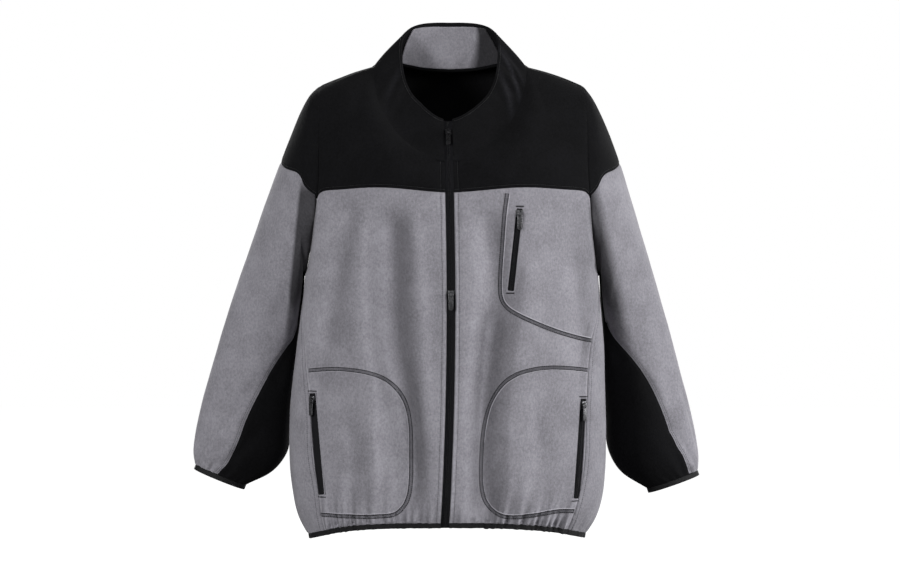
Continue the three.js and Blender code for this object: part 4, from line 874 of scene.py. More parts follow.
def back_panel():
    """Rows climb the side seams and armholes; columns run from the right side to the left."""
    place = 2 * lines(480, 1) - 1
    rows = lines(512, len(TORSO_ROWS) - 1 + BACK_CORNER - UNDERARM, 4.5)
    climb = np.arange(1, BACK_CORNER - UNDERARM + 1) / (BACK_CORNER - UNDERARM)
    middle_z = TORSO_ROWS[-1] + (BACK_YOKE_HEIGHT - TORSO_ROWS[-1]) * climb
    middle = stack(0, through(middle_z, BACK_PROFILE["z"], BACK_PROFILE["y"]), middle_z)
    halves = []
    for side in (RIGHT, LEFT):
        share = np.abs(place[place < 0] if side < 0 else place[place >= 0])
        turn = seam_turn(side, TORSO_ROWS)[:, None]
        low = torso(side, TORSO_ROWS[:, None], 180 + (turn - 180) * share)
        end = armhole(side, UNDERARM + np.arange(1, len(climb) + 1))
        high = side_arc(middle[:, None], end[:, None], (90 - 28 * np.sqrt(climb))[:, None], share)
        halves.append(np.concatenate([low, high]))
    points = spline(rows, np.concatenate(halves, axis=1))
    return edge_blend(points, seam_line(RIGHT, rows, 1), seam_line(LEFT, rows, 1))


back = back_panel()

SIDE_ROW = 7.0                # stitches beside the side seams, on the back's edges
BACK_GATHERS = [(0, 1.4), (60, 1.9), (150, 1.3), (240, 2.0), (320, 1.2), (410, 1.8), (500, 1.4)]
plain = back.copy()
across = np.linspace(0, 1, plain.shape[1])[None]
fade = np.clip(9 * np.minimum(across, 1 - across), 0, 1)
fade = fade * np.clip((BACK_YOKE_HEIGHT - plain[..., 2]) / 30, 0, 1)
sunk = fade * creased(plain[..., 0], plain[..., 2], BACK_CREASES)
plain[..., 1] -= sunk
# painted shade on crease slopes that face left, and painted highlight on those facing right
nap = np.clip(-PAINTED_SHADE_SLOPE * np.gradient(sunk, axis=1) / np.gradient(plain[..., 0], axis=1), -0.25, 0.15)
drawn = drawn_in(plain)
# the armhole valleys, with painted shadow beside them
for edge, column in (("first", 0), ("last", -1)):
    here, painted_shadow = armhole_valley(plain[:, column][:, None], from_edge(plain, edge), 6)
    drawn = drawn + here
    nap -= painted_shadow
sewn_back = dressed(plain, True, {"first": SEAM_DIP, "last": SEAM_DIP, "high": SEAM_DIP},
                    [("first", SIDE_ROW), ("last", SIDE_ROW)], gathers(plain, "low", BACK_GATHERS), drawn)
cloth_piece("back_panel", sewn_back, True, grey_fleece, "back", nap=nap)
side_rows = [stitches(beside(sewn_back[:100], edge, SIDE_ROW)) for edge in ("first", "last")]
thread_piece("side_stitches", side_rows, grey_thread)

# ---------------------------------------------------------------- black yokes and collar
# The black upper body: two front yokes, one back yoke and a two-layer stand collar that
# opens as a funnel. Neck seam and collar edge are read from one table, right round.
NECK = {                      # from centre front, over the shoulder seam at 8, to centre back
    "at":     [0, 1, 2, 3, 4, 5, 6, 7, 8, 9, 10, 11, 12, 13],
    "x":      [0, 22, 45, 67, 85, 99, 109, 115, 116, 108, 92, 68, 38, 0],
    "y":      [-96, -94, -88, -79, -67, -52, -35, -14, 10, 32, 50, 63, 71, 73],
    "z":      [565, 568, 577, 592, 611, 634, 660, 688, 711, 722, 723, 719, 714, 712],
    "edge_x": [0, 14, 29, 43, 56, 66, 71, 73, 73, 68, 58, 42, 22, 0],
    "edge_y": [-62, -60, -54, -45, -33, -19, -4, 13, 28, 41, 51, 57, 60, 61],
    "edge_z": [629, 634, 643, 654, 668, 688, 711, 735, 754, 769, 778, 783, 785, 785],
}
NECK_COLUMNS, BACK_NECK, SHOULDER_COLUMNS = 8, 5, 4
COLLAR_BULGE, SHOULDER_ARCH = 3, 3


def collar_point(side, station, rise):
    """Point between the neck seam (rise 0) and the collar's edge (1), swelling outwards in
    between. At the centre front it stops at the zip."""
    row = {name: through(station, NECK["at"], NECK[name]) for name in NECK if name != "at"}
    z = row["z"] + (row["edge_z"] - row["z"]) * rise
    fade = np.maximum(0, 1 - station / 3)
    x = row["x"] + (row["edge_x"] - row["x"]) * rise + ZIP_CHANNEL / 2 * fade
    swell = COLLAR_BULGE * 4 * rise * (1 - rise) / np.hypot(row["x"], row["y"])
    return stack(side * (x + swell * row["x"]) + zip_x(z) * fade,
                 row["y"] + (row["edge_y"] - row["y"]) * rise + swell * row["y"], z)


def shoulder_seam(side, share):
    """Nearly straight line from the neck to the armhole, arching a little."""
    neck = collar_point(side, np.array(float(NECK_COLUMNS)), 0)
    end = armhole(side, np.array(float(SHOULDER_END)))
    line = neck + (end - neck) * share[:, None]
    line[:, 2] += SHOULDER_ARCH * np.sin(np.pi * share)
    return line


def softened(line, places):
    """A coarse line with its corners rounded off by averaging, read as a spline."""
    for _ in range(8):
        line = np.concatenate([line[:1], (line[:-2] + 2 * line[1:-1] + line[2:]) / 4, line[-1:]])
    return spline(places, line)


def patch(u, v, low, high, soft, first, last, swell):
    """Surface between four border lines, swelling outwards in its middle. A corner in the
    upper border fades out just below it."""
    u = u[None, :, None]
    v = v[:, None, None]
    top = soft + (high - soft) * v**3
    points = (low * (1 - v) + top * v + first[:, None] * (1 - u) + last[:, None] * u
              - low[0] * (1 - u) * (1 - v) - low[-1] * u * (1 - v)
              - high[0] * (1 - u) * v - high[-1] * u * v)
    return points + np.array(swell) * 16 * u * (1 - u) * v * (1 - v)


def yoke_panel(side):
    """Columns run from the zip along the neck and shoulder seam; rows climb the armhole."""
    low = fronts[side][-1]
    u = lines(225, 1, 2.4)
    v = lines(170, 1, 4)

    def top(at):
        neck = collar_point(side, np.minimum(at, NECK_COLUMNS), 0)
        seam = shoulder_seam(side, np.clip((at - NECK_COLUMNS) / SHOULDER_COLUMNS, 0, 1))
        return np.where(at[:, None] <= NECK_COLUMNS, neck, seam)

    count = NECK_COLUMNS + SHOULDER_COLUMNS
    high = top(u * count)
    soft = softened(top(np.arange(count + 1.0)), u * count)
    z = low[0, 2] + (high[0, 2] - low[0, 2]) * v
    first = stack(low[0, 0] + (high[0, 0] - low[0, 0]) * v,
                  -through(z, FRONT_PROFILE["z"], FRONT_PROFILE["y"]), z)
    last = armhole(side, YOKE_CORNER - (YOKE_CORNER - SHOULDER_END) * v)
    return patch(u, v, low, high, soft, first, last, (side * 4, -8, 0))


def back_yoke_panel():
    """One piece from armhole to armhole, up to the shoulder seams and the neck."""
    low = back[-1]
    u = lines(480, 1)
    v = lines(200, 1, 4)
    half = BACK_NECK + SHOULDER_COLUMNS

    def top(at):
        away = np.abs(at - half)
        side = np.where(at < half, RIGHT, LEFT)
        both = []
        for one in (RIGHT, LEFT):
            neck = collar_point(one, NECK_COLUMNS + BACK_NECK - np.minimum(away, BACK_NECK), 0)
            seam = shoulder_seam(one, np.clip((away - BACK_NECK) / SHOULDER_COLUMNS, 0, 1))
            both.append(np.where(away[:, None] <= BACK_NECK, neck, seam))
        return np.where(side[:, None] < 0, both[0], both[1])

    high = top(u * 2 * half)
    soft = softened(top(np.arange(2 * half + 1.0)), u * 2 * half)
    climb = BACK_CORNER + (STATIONS + SHOULDER_END - BACK_CORNER) * v
    return patch(u, v, low, high, soft, armhole(RIGHT, climb), armhole(LEFT, climb), (0, 10, 0))


yokes = {side: yoke_panel(side) for side in (RIGHT, LEFT)}
back_yoke = back_yoke_panel()

black_thread = new_material("black_thread", (0.012, 0.012, 0.013), 0.45, "black_fleece")
YOKE_ROW = 4.5


def neck_fillet(station, away):
    """Cloth beside the front of the neck seam stands out, so that yoke and collar run into
    each other in a soft hollow: a height that fades with distance from the seam."""
    return 4.0 * np.clip((7.5 - station) / 3, 0, 1) * np.exp(-away / 13)


black_threads = []
sewn_yokes = {}
for side in (RIGHT, LEFT):
    plain = yokes[side]
    station = np.linspace(0, 1, plain.shape[1])[None] * (NECK_COLUMNS + SHOULDER_COLUMNS)
    sewn = dressed(plain, side == RIGHT, {"last": 0.8, "low": SEAM_DIP},
                   [("first", ZIP_ROW), ("low", YOKE_ROW)],
                   -neck_fillet(station, from_edge(plain, "high")))
    sewn_yokes[side] = sewn
    cloth_piece(f"yoke_panel_{side_name(side)}", sewn, side == RIGHT, black_fleece,
                f"yoke_{side_name(side)}")
    black_threads += [stitches(beside(sewn, "low", YOKE_ROW)), stitches(beside(sewn, "first", ZIP_ROW))]
sewn_back_yoke = dressed(back_yoke, True, {"first": 0.8, "last": 0.8, "low": SEAM_DIP, "high": 0.4},
                         [("low", YOKE_ROW)])
cloth_piece("back_yoke_panel", sewn_back_yoke, True, black_fleece, "back_yoke")
black_threads.append(stitches(beside(sewn_back_yoke, "low", YOKE_ROW)))
thread_piece("yoke_stitches", black_threads, black_thread)

COLLAR_CLOTH = 3.0
COLLAR_TURNED_IN = 3.5        # its lower edge, folded in and sewn under the yokes
COLLAR_STATIONS = 2 * (NECK_COLUMNS + BACK_NECK)
COLLAR_FOLDS = [              # upright folds beside the opening: station, reach, depth
    (4.4, 0.30, 1.6), (5.5, 0.26, 2.4), (6.6, 0.3, 1.8), (18.6, 0.24, 2.4), (19.5, 0.2, 3.0),
    (20.3, 0.24, 2.6), (21.3, 0.3, 2.0),
]


def collar_face(column, rise):
    """Outer face of the collar at a column counted from the zip round the back."""
    half = COLLAR_STATIONS / 2
    both = [collar_point(side, half - np.abs(column - half), rise) for side in (RIGHT, LEFT)]
    return np.where((column < half)[..., None], both[0], both[1])


def collar_face_sewn():
    """The outer face as a sheet: columns go round from the zip, rows up to the rim."""
    columns = lines(470, COLLAR_STATIONS, 3)
    rises = np.concatenate([[0, 0.012, 0.03], np.linspace(0.07, 0.98, 22)])
    outer = collar_face(columns[None], rises[:, None])
    out = outward(outer, True)
    near = COLLAR_STATIONS / 2 - np.abs(columns - COLLAR_STATIONS / 2)
    sink = 0.5 * unevenness(outer) - neck_fillet(near[None], from_edge(outer, "low"))
    for station, reach, depth in COLLAR_FOLDS:
        sink += depth * np.exp(-((columns - station) / reach)**2) * (4 * rises * (1 - rises))[:, None]
    outer = outer - out * sink[..., None]
    return np.concatenate([outer, outward(outer, True)], axis=-1)


collar_outer = collar_face_sewn()


def collar_shell():
    """Closed section carried round the neck: up the outer face, over a rounded rim and down
    the inner face. Its two ends stand beside the zip."""
    outer, out = collar_outer[..., :3], collar_outer[..., 3:]
    up = np.gradient(outer, axis=0)[-1]
    up /= np.linalg.norm(up, axis=-1, keepdims=True)
    half = COLLAR_CLOTH / 2
    turn = np.radians([30, 60, 90, 120, 150])[:, None, None]
    rim = outer[-1] - out[-1] * half + half * (np.cos(turn) * out[-1] + np.sin(turn) * up)
    inner = (outer - out * COLLAR_CLOTH)[::-1]
    down = outer[0] - outer[1]
    down /= np.linalg.norm(down, axis=-1, keepdims=True)
    turned_in = outer[0] - out[0] * half + down * COLLAR_TURNED_IN
    section = np.concatenate([outer, rim, inner, turned_in[None]])
    ends = section.mean(axis=0)[[0, -1]]
    first = section[:, :1] * 0 + ends[0]
    last = section[:, :1] * 0 + ends[1]
    return np.concatenate([first, section, last], axis=1).transpose(1, 0, 2)


COLLAR_HIGHLIGHTS = [            # painted highlights on the collar: station, lean, reach, strength
    (20.4, -1.9, 0.22, 3.4), (21.5, -1.6, 0.3, 2.2), (19.4, -1.2, 0.16, 1.6), (5.0, 1.2, 0.3, 1.0),
]
shell = collar_shell()
station = np.concatenate([[0], lines(470, COLLAR_STATIONS, 3), [COLLAR_STATIONS]])[:, None]
height = np.minimum(np.linspace(0, 2.1, shell.shape[1]), 1)
collar_highlights = sum(strength * np.exp(-((station - place - lean * height) / reach)**2)
              for place, lean, reach, strength in COLLAR_HIGHLIGHTS)
collar_highlights = collar_highlights * (4 * height * (1 - height))
collar = put(with_painted_light(grid_mesh("collar_stand", shell, False, closed=True), collar_highlights), black_fleece, "collar")
thread_piece("collar_stitches", [stitches(beside(collar_outer, "high", 4.0))], black_thread)

FACING = {"right_low": 10.65, "right_high": 10.2, "left": 15.6, "top": 0.917, "thickness": 1.5,
          "fold_low": 13.75, "fold_high": 14.85}
rises = np.linspace(0.02, FACING["top"], 36)[:, None]
climb = rises / FACING["top"]
right = FACING["right_low"] + (FACING["right_high"] - FACING["right_low"]) * climb
columns = right + (FACING["left"] - right) * np.linspace(0, 1, 70)[None]
fold = FACING["fold_low"] + (FACING["fold_high"] - FACING["fold_low"]) * climb
facing = collar_face(columns, rises)
sunk = COLLAR_CLOTH + 0.4 + 1.2 * np.exp(-((columns - fold) / 0.2)**2)
facing = facing - outward(facing, True) * sunk[..., None]
# painted shade on the facing beyond its fold
shadow_past_fold = np.clip((columns - fold + 0.1) / (0.5 - 0.25 * climb), 0, 1)
cloth_piece("collar_facing_panel", facing, True, grey_fleece, "collar_facing", FACING["thickness"],
            nap=-0.86 * shadow_past_fold)

# ---------------------------------------------------------------- sleeves
# Each sleeve has a black cap at the shoulder, a grey top sleeve and a black under sleeve
# that widens towards the cuff. Sections are ellipses leaning with the arm.
SLEEVES = {                   # twelve sections after the armhole, down to the cuff
    RIGHT: {
        "out_x": [214, 233, 257, 280, 303, 325, 346, 364, 381, 393, 396, 392],
        "out_z": [667, 632, 574, 513, 450, 388, 326, 266, 206, 152, 124, 104],
        "in_x":  [223, 223, 225, 229, 231, 234, 238, 242, 246, 252, 274, 314],
        "in_z":  [392, 379, 356, 326, 292, 256, 220, 184, 150, 121, 93, 72],
        "y":     [12, 17, 26, 37, 48, 57, 63, 66, 66, 64, 62, 60],
        "depth": [74, 72, 68, 65, 62, 59, 56, 53, 50, 46, 40, 26],
        "seam_front": [165, 165, 165, 163, 152, 130, 114, 102, 93, 88, 86, 85],
        "seam_back":  [225, 225, 225, 226, 227, 228, 227, 224, 220, 216, 213, 210],
    },
    LEFT: {
        "out_x": [217, 235, 258, 277, 297, 316, 334, 350, 366, 379, 384, 382],
        "out_z": [664, 628, 572, 513, 450, 388, 326, 266, 206, 148, 116, 95],
        "in_x":  [228, 229, 230, 232, 233, 233, 235, 238, 240, 247, 266, 303],
        "in_z":  [392, 379, 356, 326, 292, 256, 220, 184, 150, 118, 90, 67],
        "y":     [12, 17, 26, 37, 48, 57, 63, 66, 66, 64, 62, 60],
        "depth": [74, 72, 68, 65, 62, 59, 56, 53, 50, 46, 40, 26],
        "seam_front": [165, 165, 163, 158, 140, 118, 97, 80, 68, 59, 53, 50],
        "seam_back":  [225, 225, 225, 224, 221, 216, 208, 200, 192, 186, 182, 180],
    },
}
LAST_RING = 12
SECTION_STEP, DEGREE = 60, 1.1   # sleeve folds: one section along, one degree round
SLEEVE_FOLDS = {              # (section, degrees) to (section, degrees), reach, depth
    RIGHT: [(7.4, 72, 10.6, 30, 15, 4.5), (4.6, 118, 6.8, 84, 17, 3.5), (6.0, 260, 8.0, 300, 17, 4)],
    LEFT: [(7.0, 40, 10.2, 62, 15, 3.5), (4.4, 104, 6.6, 78, 17, 3), (6.2, 262, 8.4, 296, 17, 4)],
}
SLEEVE_CREASES = {            # smaller ones, in the same measures
    RIGHT: [(8.0, 92, 9.7, 62, 9, 3), (9.4, 108, 11.3, 78, 9, 2.6), (3.2, 62, 6.4, 52, 20, 2.2),
            (10.2, 18, 11.5, 48, 8, 2.2), (4.8, 150, 7.2, 122, 12, 3), (10.4, 92, 11.8, 96, 6, 1.6),
            (6.4, 238, 9.0, 282, 13, 3.5), (9.0, 232, 11.2, 262, 10, 3), (3.4, 300, 6.2, 268, 17, 3),
            (10.6, 300, 11.8, 310, 7, 1.8), (7.6, 330, 9.8, 352, 11, 2.2)],
    LEFT: [(7.8, 84, 9.6, 60, 9, 2.6), (9.6, 52, 11.2, 34, 8, 2.6), (3.6, 70, 6.6, 58, 20, 2.4),
           (8.8, 22, 10.8, 8, 9, 2.2), (4.6, 148, 6.6, 118, 12, 2.8), (10.5, 66, 11.8, 62, 6, 1.6),
           (6.8, 244, 9.2, 276, 13, 3.5), (9.2, 226, 11.0, 256, 10, 2.8), (3.2, 296, 5.8, 262, 17, 3),
           (10.4, 292, 11.8, 300, 7, 1.8), (7.2, 334, 9.4, 350, 11, 2.4)],
}
CAP_DEPTH, CAP_END, CAP_FALL = 3.1, 0.12, 2.6
TOP_SPAN = 20                 # stations across the top sleeve, the first at -9
TOP_FIRST = -9


def ring_point(side, ring, degrees):
    """Point of the armhole (ring 0) or a sleeve section, counted from the outer line over
    the front."""
    turn = np.mod(degrees, 360)
    row = {name: np.asarray(values, float)[np.clip(ring, 1, LAST_RING) - 1]
           for name, values in SLEEVES[side].items()}
    across = (1 + np.cos(np.radians(turn))) / 2
    section = stack(side * (row["in_x"] + (row["out_x"] - row["in_x"]) * across),
                    row["y"] - row["depth"] * np.sin(np.radians(turn)),
                    row["in_z"] + (row["out_z"] - row["in_z"]) * across)
    return np.where((ring <= 0)[..., None], armhole(side, turn * STATIONS / 360), section)


def sleeve_curve(side, along, degrees):
    """Smooth curve through the rings at one angle."""
    ring = np.minimum(np.floor(along).astype(int), LAST_RING - 1)
    t = (along - ring)[..., None]
    a, b, c, d = (ring_point(side, ring + step, degrees) for step in (-1, 0, 1, 2))
    a = np.where((ring == 0)[..., None], 2 * b - c, a)
    d = np.where((ring + 2 > LAST_RING)[..., None], 2 * c - b, d)
    return (b * (1.5 * t**3 - 2.5 * t**2 + 1) + a * (-0.5 * t**3 + t**2 - 0.5 * t)
            + c * (-1.5 * t**3 + 2 * t**2 + 0.5 * t) + d * (0.5 * t**3 - 0.5 * t**2))


def sleeve_point(side, along, degrees):
    """The sleeve with its folds sunk towards its middle line."""
    along, degrees = np.broadcast_arrays(along, degrees)
    points = sleeve_curve(side, along, degrees)
    inwards = sleeve_curve(side, along, degrees + 180) - points
    inwards /= np.linalg.norm(inwards, axis=-1, keepdims=True)
    folds = [(a * SECTION_STEP, b * DEGREE, c * SECTION_STEP, d * DEGREE, reach, depth)
             for a, b, c, d, reach, depth in SLEEVE_FOLDS[side] + SLEEVE_CREASES[side]]
    sunk = trough(along * SECTION_STEP, np.mod(degrees, 360) * DEGREE, folds)
    return points + inwards * sunk[..., None]


def seam_angles(side, along):
    table = SLEEVES[side]
    rings = np.arange(1, LAST_RING + 1)
    return through(along, rings, table["seam_front"]), through(along, rings, table["seam_back"])


def cap_reach(column):
    """How far the shoulder cap comes down, in sections, at a station of the armhole."""
    station = np.abs(TOP_FIRST + column)
    share = np.minimum(station / YOKE_CORNER, 1)
    reach = np.maximum(CAP_DEPTH * (1 - share**CAP_FALL), CAP_END)
    return np.where(station > YOKE_CORNER, CAP_END * np.clip(YOKE_CORNER + 1 - station, 0, 1), reach)


def top_point(side, column, along):
    """A column of the top sleeve twists with the seams on both sides."""
    front, rear = seam_angles(side, along)
    return sleeve_point(side, along, rear + (front + 360 - rear) * column / TOP_SPAN)


def top_sleeve(side):
    columns = lines(330, TOP_SPAN)[None]
    rows = lines(540, 1, 4.5)[:, None]
    reach = cap_reach(columns)
    return top_point(side, columns, reach + (LAST_RING - reach) * rows)


def under_sleeve(side):
    along = lines(480, LAST_RING, 4.5)[:, None]
    front, rear = seam_angles(side, along)
    return sleeve_point(side, along, front + (rear - front) * lines(110, 1)[None])


def shoulder_cap(side):
    first = -YOKE_CORNER - TOP_FIRST
    columns = first + lines(330, 2 * YOKE_CORNER)[None]
    return top_point(side, columns, cap_reach(columns) * lines(110, 1, 4)[:, None])


CUFF_GATHERS = {              # distance across from the first edge, height of the pleats
    RIGHT: [(0, 1.0), (60, 1.2), (110, 1.4), (150, 2.0), (200, 1.8), (260, 1.2)],
    LEFT: [(0, 1.0), (60, 1.3), (110, 1.5), (150, 1.8), (200, 1.4), (260, 1.2)],
}
UNDER_GATHERS = [(0, 0.8), (50, 0.6), (120, 0.8)]
CAP_ROW = 4.0
UNDER_ROWS = (2.6, 5.4)       # twin rows on the grey side of the under sleeve's seams
SLEEVE_SHADE = {RIGHT: 32, LEFT: 48}    # how far the painted shadow reaches from the lower armhole
SLEEVE_SHADOW_EDGE = {                   # outer edge of the painted shadow on the sleeve, from (x, z) down to (x, z), and how soft that edge is
    RIGHT: (224, 536, 250, 304, 5), LEFT: (216, 536, 272, 304, 16),
}


def sleeve_shadow(points, side):
    """Painted shadow on the sleeve's side that lies against the body, weaker at the back.
    Gives how strongly, from 0 to 1."""
    high_x, high_z, low_x, low_z, soft = SLEEVE_SHADOW_EDGE[side]
    x, y, z = np.abs(points[..., 0]), points[..., 1], points[..., 2]
    edge = high_x + (low_x - high_x) * (high_z - z) / (high_z - low_z)
    share = np.clip((edge - x) / soft + 0.5, 0, 1) * np.clip((high_z + 8 - z) / 24, 0, 1)
    return share * np.clip((z - 270) / 40, 0, 1) * np.clip((25 - y) / 35, 0.4, 1)


sleeve_threads, cap_threads = [], []
for side in (RIGHT, LEFT):
    flip = side == RIGHT
    name = side_name(side)
    cap = dressed(shoulder_cap(side), flip, {"first": 0.8, "last": 0.8, "low": 0.8, "high": SEAM_DIP},
                  [("high", CAP_ROW)])
    cloth_piece(f"shoulder_cap_panel_{name}", cap, flip, black_fleece, f"shoulder_cap_{name}")
    cap_threads.append(stitches(beside(cap, "high", CAP_ROW)))
    plain = top_sleeve(side)
    # the armhole valley, with painted shadow on the sleeve beside it
    drawn, painted_shadow = armhole_valley(plain[:1], from_edge(plain, "low"), SLEEVE_SHADE[side])
    top = dressed(plain, flip, {"first": SEAM_DIP, "last": SEAM_DIP, "low": SEAM_DIP},
                  [(edge, away) for edge in ("first", "last") for away in UNDER_ROWS],
                  gathers(plain, "high", CUFF_GATHERS[side]), drawn)
    # painted shadow on the sleeve's side against the body
    cloth_piece(f"top_sleeve_panel_{name}", top, flip, grey_fleece, f"top_sleeve_{name}",
                nap=-np.maximum(painted_shadow, 0.8 * sleeve_shadow(plain, side)))
    sleeve_threads += [stitches(beside(top, edge, away)) for edge in ("first", "last")
                       for away in UNDER_ROWS]
    plain = under_sleeve(side)
    under = dressed(plain, flip, {"first": SEAM_DIP, "last": SEAM_DIP, "low": 0.8}, (),
                    gathers(plain, "high", UNDER_GATHERS),
                    armhole_valley(plain[:1], from_edge(plain, "low"), SLEEVE_SHADE[side])[0])
    cloth_piece(f"under_sleeve_panel_{name}", under, flip, black_fleece, f"under_sleeve_{name}")
thread_piece("cap_stitches", cap_threads, black_thread)
thread_piece("sleeve_stitches", sleeve_threads, grey_thread)

# ---------------------------------------------------------------- hem and cuff bindings
# The lower edges of body and sleeves are bound in black elastic, folded over the cloth and
# 8 mm wide. It is finely ribbed and draws the cloth in.
BINDING, BINDING_WIDTH = 2.6, 8.0


def band(path, out, down):
    """Flat tube with rounded edges carried along a path, 8 mm down from it and 2.6 mm deep."""
    half = BINDING / 2
    fall = np.linspace(0.8, BINDING_WIDTH - 0.8, 9)
    ribs = 0.14 * (1 - np.cos(2 * np.pi * (fall - fall[0]) / 1.6)) / 2
    round_low = np.array([[0.35, BINDING_WIDTH - 0.25], [half, BINDING_WIDTH],
                          [BINDING - 0.35, BINDING_WIDTH - 0.25]])
    round_high = np.array([[BINDING - 0.35, 0.25], [half, 0.0], [0.35, 0.25]])
    section = np.concatenate([np.stack([ribs, fall], axis=-1), round_low,
                              np.stack([BINDING + 0 * fall, fall[::-1]], axis=-1), round_high])
    return (path[:, None] - out[:, None] * section[None, :, :1]
            + down[:, None] * section[None, :, 1:])


elastic = new_material("elastic_binding", (0.008, 0.008, 0.009), 0.7, specular=0.3)
rib(elastic, "UV", "Y", {"Scale": 400.0, "Distortion": 0.6, "Detail": 1.0}, 0.4, 0.0003)


hem_path = np.concatenate([sewn_fronts[RIGHT][0], sewn_back[0][1:-1], sewn_fronts[LEFT][0][::-1]])
hem_out = hem_path[:, 3:]
hem_path = hem_path[:, :3]
inward = -hem_path * (1, 1, 0)
inward /= np.linalg.norm(inward, axis=-1, keepdims=True)
hem_down = (inward * 1.2 + (0, 0, -BINDING_WIDTH)) / BINDING_WIDTH
hem = band(hem_path + (0, 0, -0.1), hem_out, hem_down)
hem = np.concatenate([hem[:1] * 0 + hem[0].mean(axis=0), hem, hem[:1] * 0 + hem[-1].mean(axis=0)])
put(grid_mesh("hem_elastic", hem, False, closed=True), elastic, "hem_binding")

for side in (RIGHT, LEFT):
    turn = np.arange(0, 360, 2.0)
    ring = ring_point(side, np.full(turn.shape, LAST_RING), turn)
    axis = np.cross(ring[0] - ring[90], (0, -side, 0))
    axis /= np.linalg.norm(axis)
    spread = np.gradient(np.concatenate([ring[-1:], ring, ring[:1]]), axis=0)[1:-1]
    ring_out = np.cross(spread, axis) * side
    ring_out /= np.linalg.norm(ring_out, axis=-1, keepdims=True)
    cuff = band(ring, ring_out, np.broadcast_to(axis, ring.shape))
    cuff = np.concatenate([cuff, cuff[:1]])
    put(grid_mesh(f"cuff_elastic_{side_name(side)}", cuff, side == LEFT, closed=True), elastic,
        f"cuff_{side_name(side)}")

# ---------------------------------------------------------------- front zip
# A long two-way coil zip on woven tape joins the two front edges from hem to collar. Its
# metal sliders are shown where they stand, each with a plain hanging tab.
ZIP_REACHES = (0.0, 3.2, 6.6)  # lines of the tape, counted outwards from the front's edge


def zip_sheet(side):
    """Half of the tape, as three lines under the turned edge of front, yoke and collar."""
    edge = "first" if side == RIGHT else "last"
    parts = [(sewn_fronts[side], "first", CLOTH), (sewn_yokes[side][1:], "first", CLOTH),
             (collar_outer, edge, COLLAR_CLOTH)]
    rows = []
    for sheet, name, cloth in parts:
        for away in ZIP_REACHES:
            line = beside(sheet, name, away)
            line[:, :3] -= line[:, 3:] * (cloth + 0.2)
            rows.append(line)
    return [np.concatenate(rows[part::len(ZIP_REACHES)]) for part in range(len(ZIP_REACHES))]


zip_sides = {side: zip_sheet(side) for side in (RIGHT, LEFT)}
zip_middle = (zip_sides[RIGHT][0] + zip_sides[LEFT][0]) / 2
foot = zip_middle[:1].copy()
foot[:, 2] -= BINDING_WIDTH
for side in (RIGHT, LEFT):
    half = [zip_middle] + zip_sides[side]
    grid = np.stack(half, axis=1)[..., :3]
    grid = np.concatenate([grid[:1] - (0, 0, BINDING_WIDTH), grid])
    mesh = grid_mesh(f"front_zip_{side_name(side)}", grid, side == RIGHT)
    give_wall(put(mesh, zip_tape, f"front_zip_tape_{side_name(side)}"), TAPE)
line = np.concatenate([foot, zip_middle])
line[:, :3] += line[:, 3:] * 0.2
teeth = []
places = np.arange(1.0, run(line[None], 1)[0, -1] - 2, COIL["pitch"])
for towards in (-1, 1):
    near = aside(evenly(line, places), 0.1 * towards)
    far = aside(evenly(line, places + 0.4), COIL["reach"] * towards)
    teeth.append(threads(near, far, COIL["radius"], 0.3))
thread_piece("front_coil", teeth, coil_black)

gunmetal = new_material("gunmetal", (0.2, 0.2, 0.21), 0.3)
shader_inputs(gunmetal)["Metallic"].default_value = 1
worn = noise(gunmetal, add(gunmetal, "TexCoord").outputs["Object"], 700, 3)
shine = add(gunmetal, "MapRange", {"Value": worn, "To Min": 0.18, "To Max": 0.4}).outputs[0]
link(gunmetal, shine, "Roughness")
for name in ("front", "second", "pocket_right", "pocket_left", "chest_pocket"):
    for part in ("slider", "pull"):
        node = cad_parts[f"{name}_{part}"]
        metal = bmesh.new()
        metal.from_mesh(node.data)
        bmesh.ops.remove_doubles(metal, verts=metal.verts, dist=1e-5)
        mesh = bpy.data.meshes.new(f"{name}_{part}_metal")
        metal.to_mesh(mesh)
        metal.free()
        mesh.materials.clear()
        piece = put(mesh, gunmetal, node.name, body="jacket" if part == "slider" else node.name)
        eased = piece.modifiers.new("eased", "BEVEL")
        eased.width = 0.0005
        eased.segments = 3
        eased.limit_method = "ANGLE"
        mesh.set_sharp_from_angle(angle=0.5)

# ---------------------------------------------------------------- studio
ROOM_LIGHT = 0.03


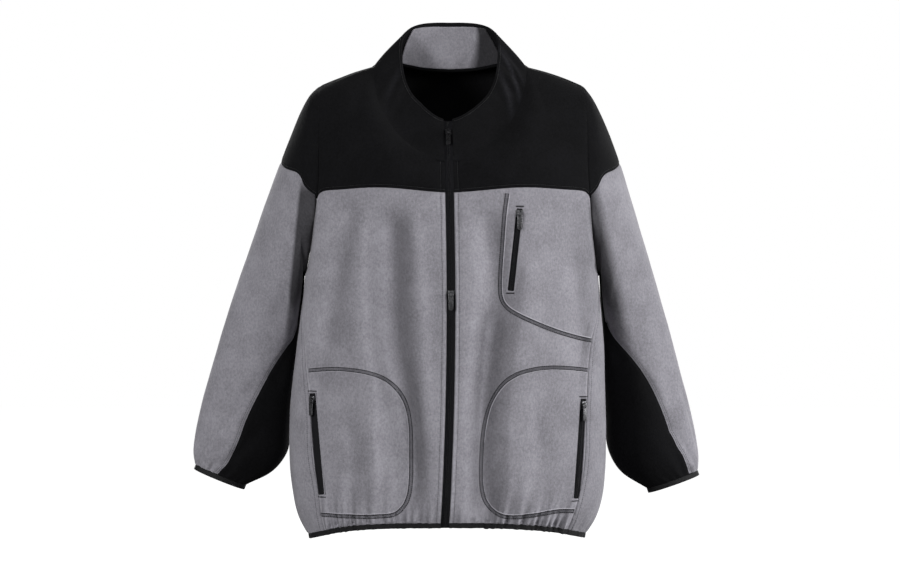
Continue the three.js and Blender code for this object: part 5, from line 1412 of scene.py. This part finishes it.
def lit_evenly(tree, shader, strength):
    """The surroundings look white, and light the jacket less than they look."""
    ray = tree.nodes.new("ShaderNodeLightPath")
    level = tree.nodes.new("ShaderNodeMapRange")
    level.inputs["To Min"].default_value = strength
    level.inputs["To Max"].default_value = 1.0
    tree.links.new(ray.outputs["Is Camera Ray"], level.inputs["Value"])
    tree.links.new(level.outputs[0], shader)


across, along = np.meshgrid([-9000.0, 9000.0], [-9000.0, 9000.0])
floor = bpy.data.objects.new("studio_floor", grid_mesh("studio_floor", stack(across, along, -200), False))
bpy.context.scene.collection.objects.link(floor)
paper = new_material("studio_paper", (0.1, 0.1, 0.1), 0.9, specular=0)
shader_inputs(paper)["Emission Color"].default_value = (1, 1, 1, 1)
lit_evenly(paper.node_tree, shader_inputs(paper)["Emission Strength"], ROOM_LIGHT)
floor.data.materials.append(paper)

world = bpy.data.worlds.new("studio")
bpy.context.scene.world = world
world.use_nodes = True
background = world.node_tree.nodes["Background"]
background.inputs["Color"].default_value = (1, 1, 1, 1)
lit_evenly(world.node_tree, background.inputs["Strength"], ROOM_LIGHT)


def soft_light(name, place, target, size, power):
    lamp = bpy.data.lights.new(name, "AREA")
    lamp.size = size
    lamp.energy = power
    light = bpy.data.objects.new(name, lamp)
    bpy.context.scene.collection.objects.link(light)
    light.location = place
    aim = np.array(target, float) - place
    light.rotation_euler = (np.arctan2(np.hypot(aim[0], aim[1]), -aim[2]), 0, np.arctan2(-aim[0], aim[1]))
    return light


soft_light("key", (3.4, -2.6, 0.9), (0, 0, -0.3), 1.0, 66)
soft_light("second", (-3.0, -3.0, 0.5), (0, 0, -0.3), 1.2, 104)
soft_light("fill", (0.3, -4.2, 1.0), (0, 0, -0.2), 1.5, 18)
soft_light("edge", (3.7, -0.5, 0.4), (0, 0, -0.3), 1.2, 100)
soft_light("rear", (-1.6, 3.6, 1.0), (0, 0, -0.3), 2.0, 105)
soft_light("rear_low", (2.4, 3.4, 0.1), (0, 0, -0.3), 1.6, 55)

lens = bpy.data.cameras.new("camera")
lens.lens = 110.5
lens.sensor_width = 36
camera = bpy.data.objects.new("camera", lens)
bpy.context.scene.collection.objects.link(camera)
camera.location = (0, -4.2, -0.3246)
camera.rotation_euler = (np.pi / 2, 0, 0)
bpy.context.scene.camera = camera
bpy.context.scene.view_settings.view_transform = "Standard"
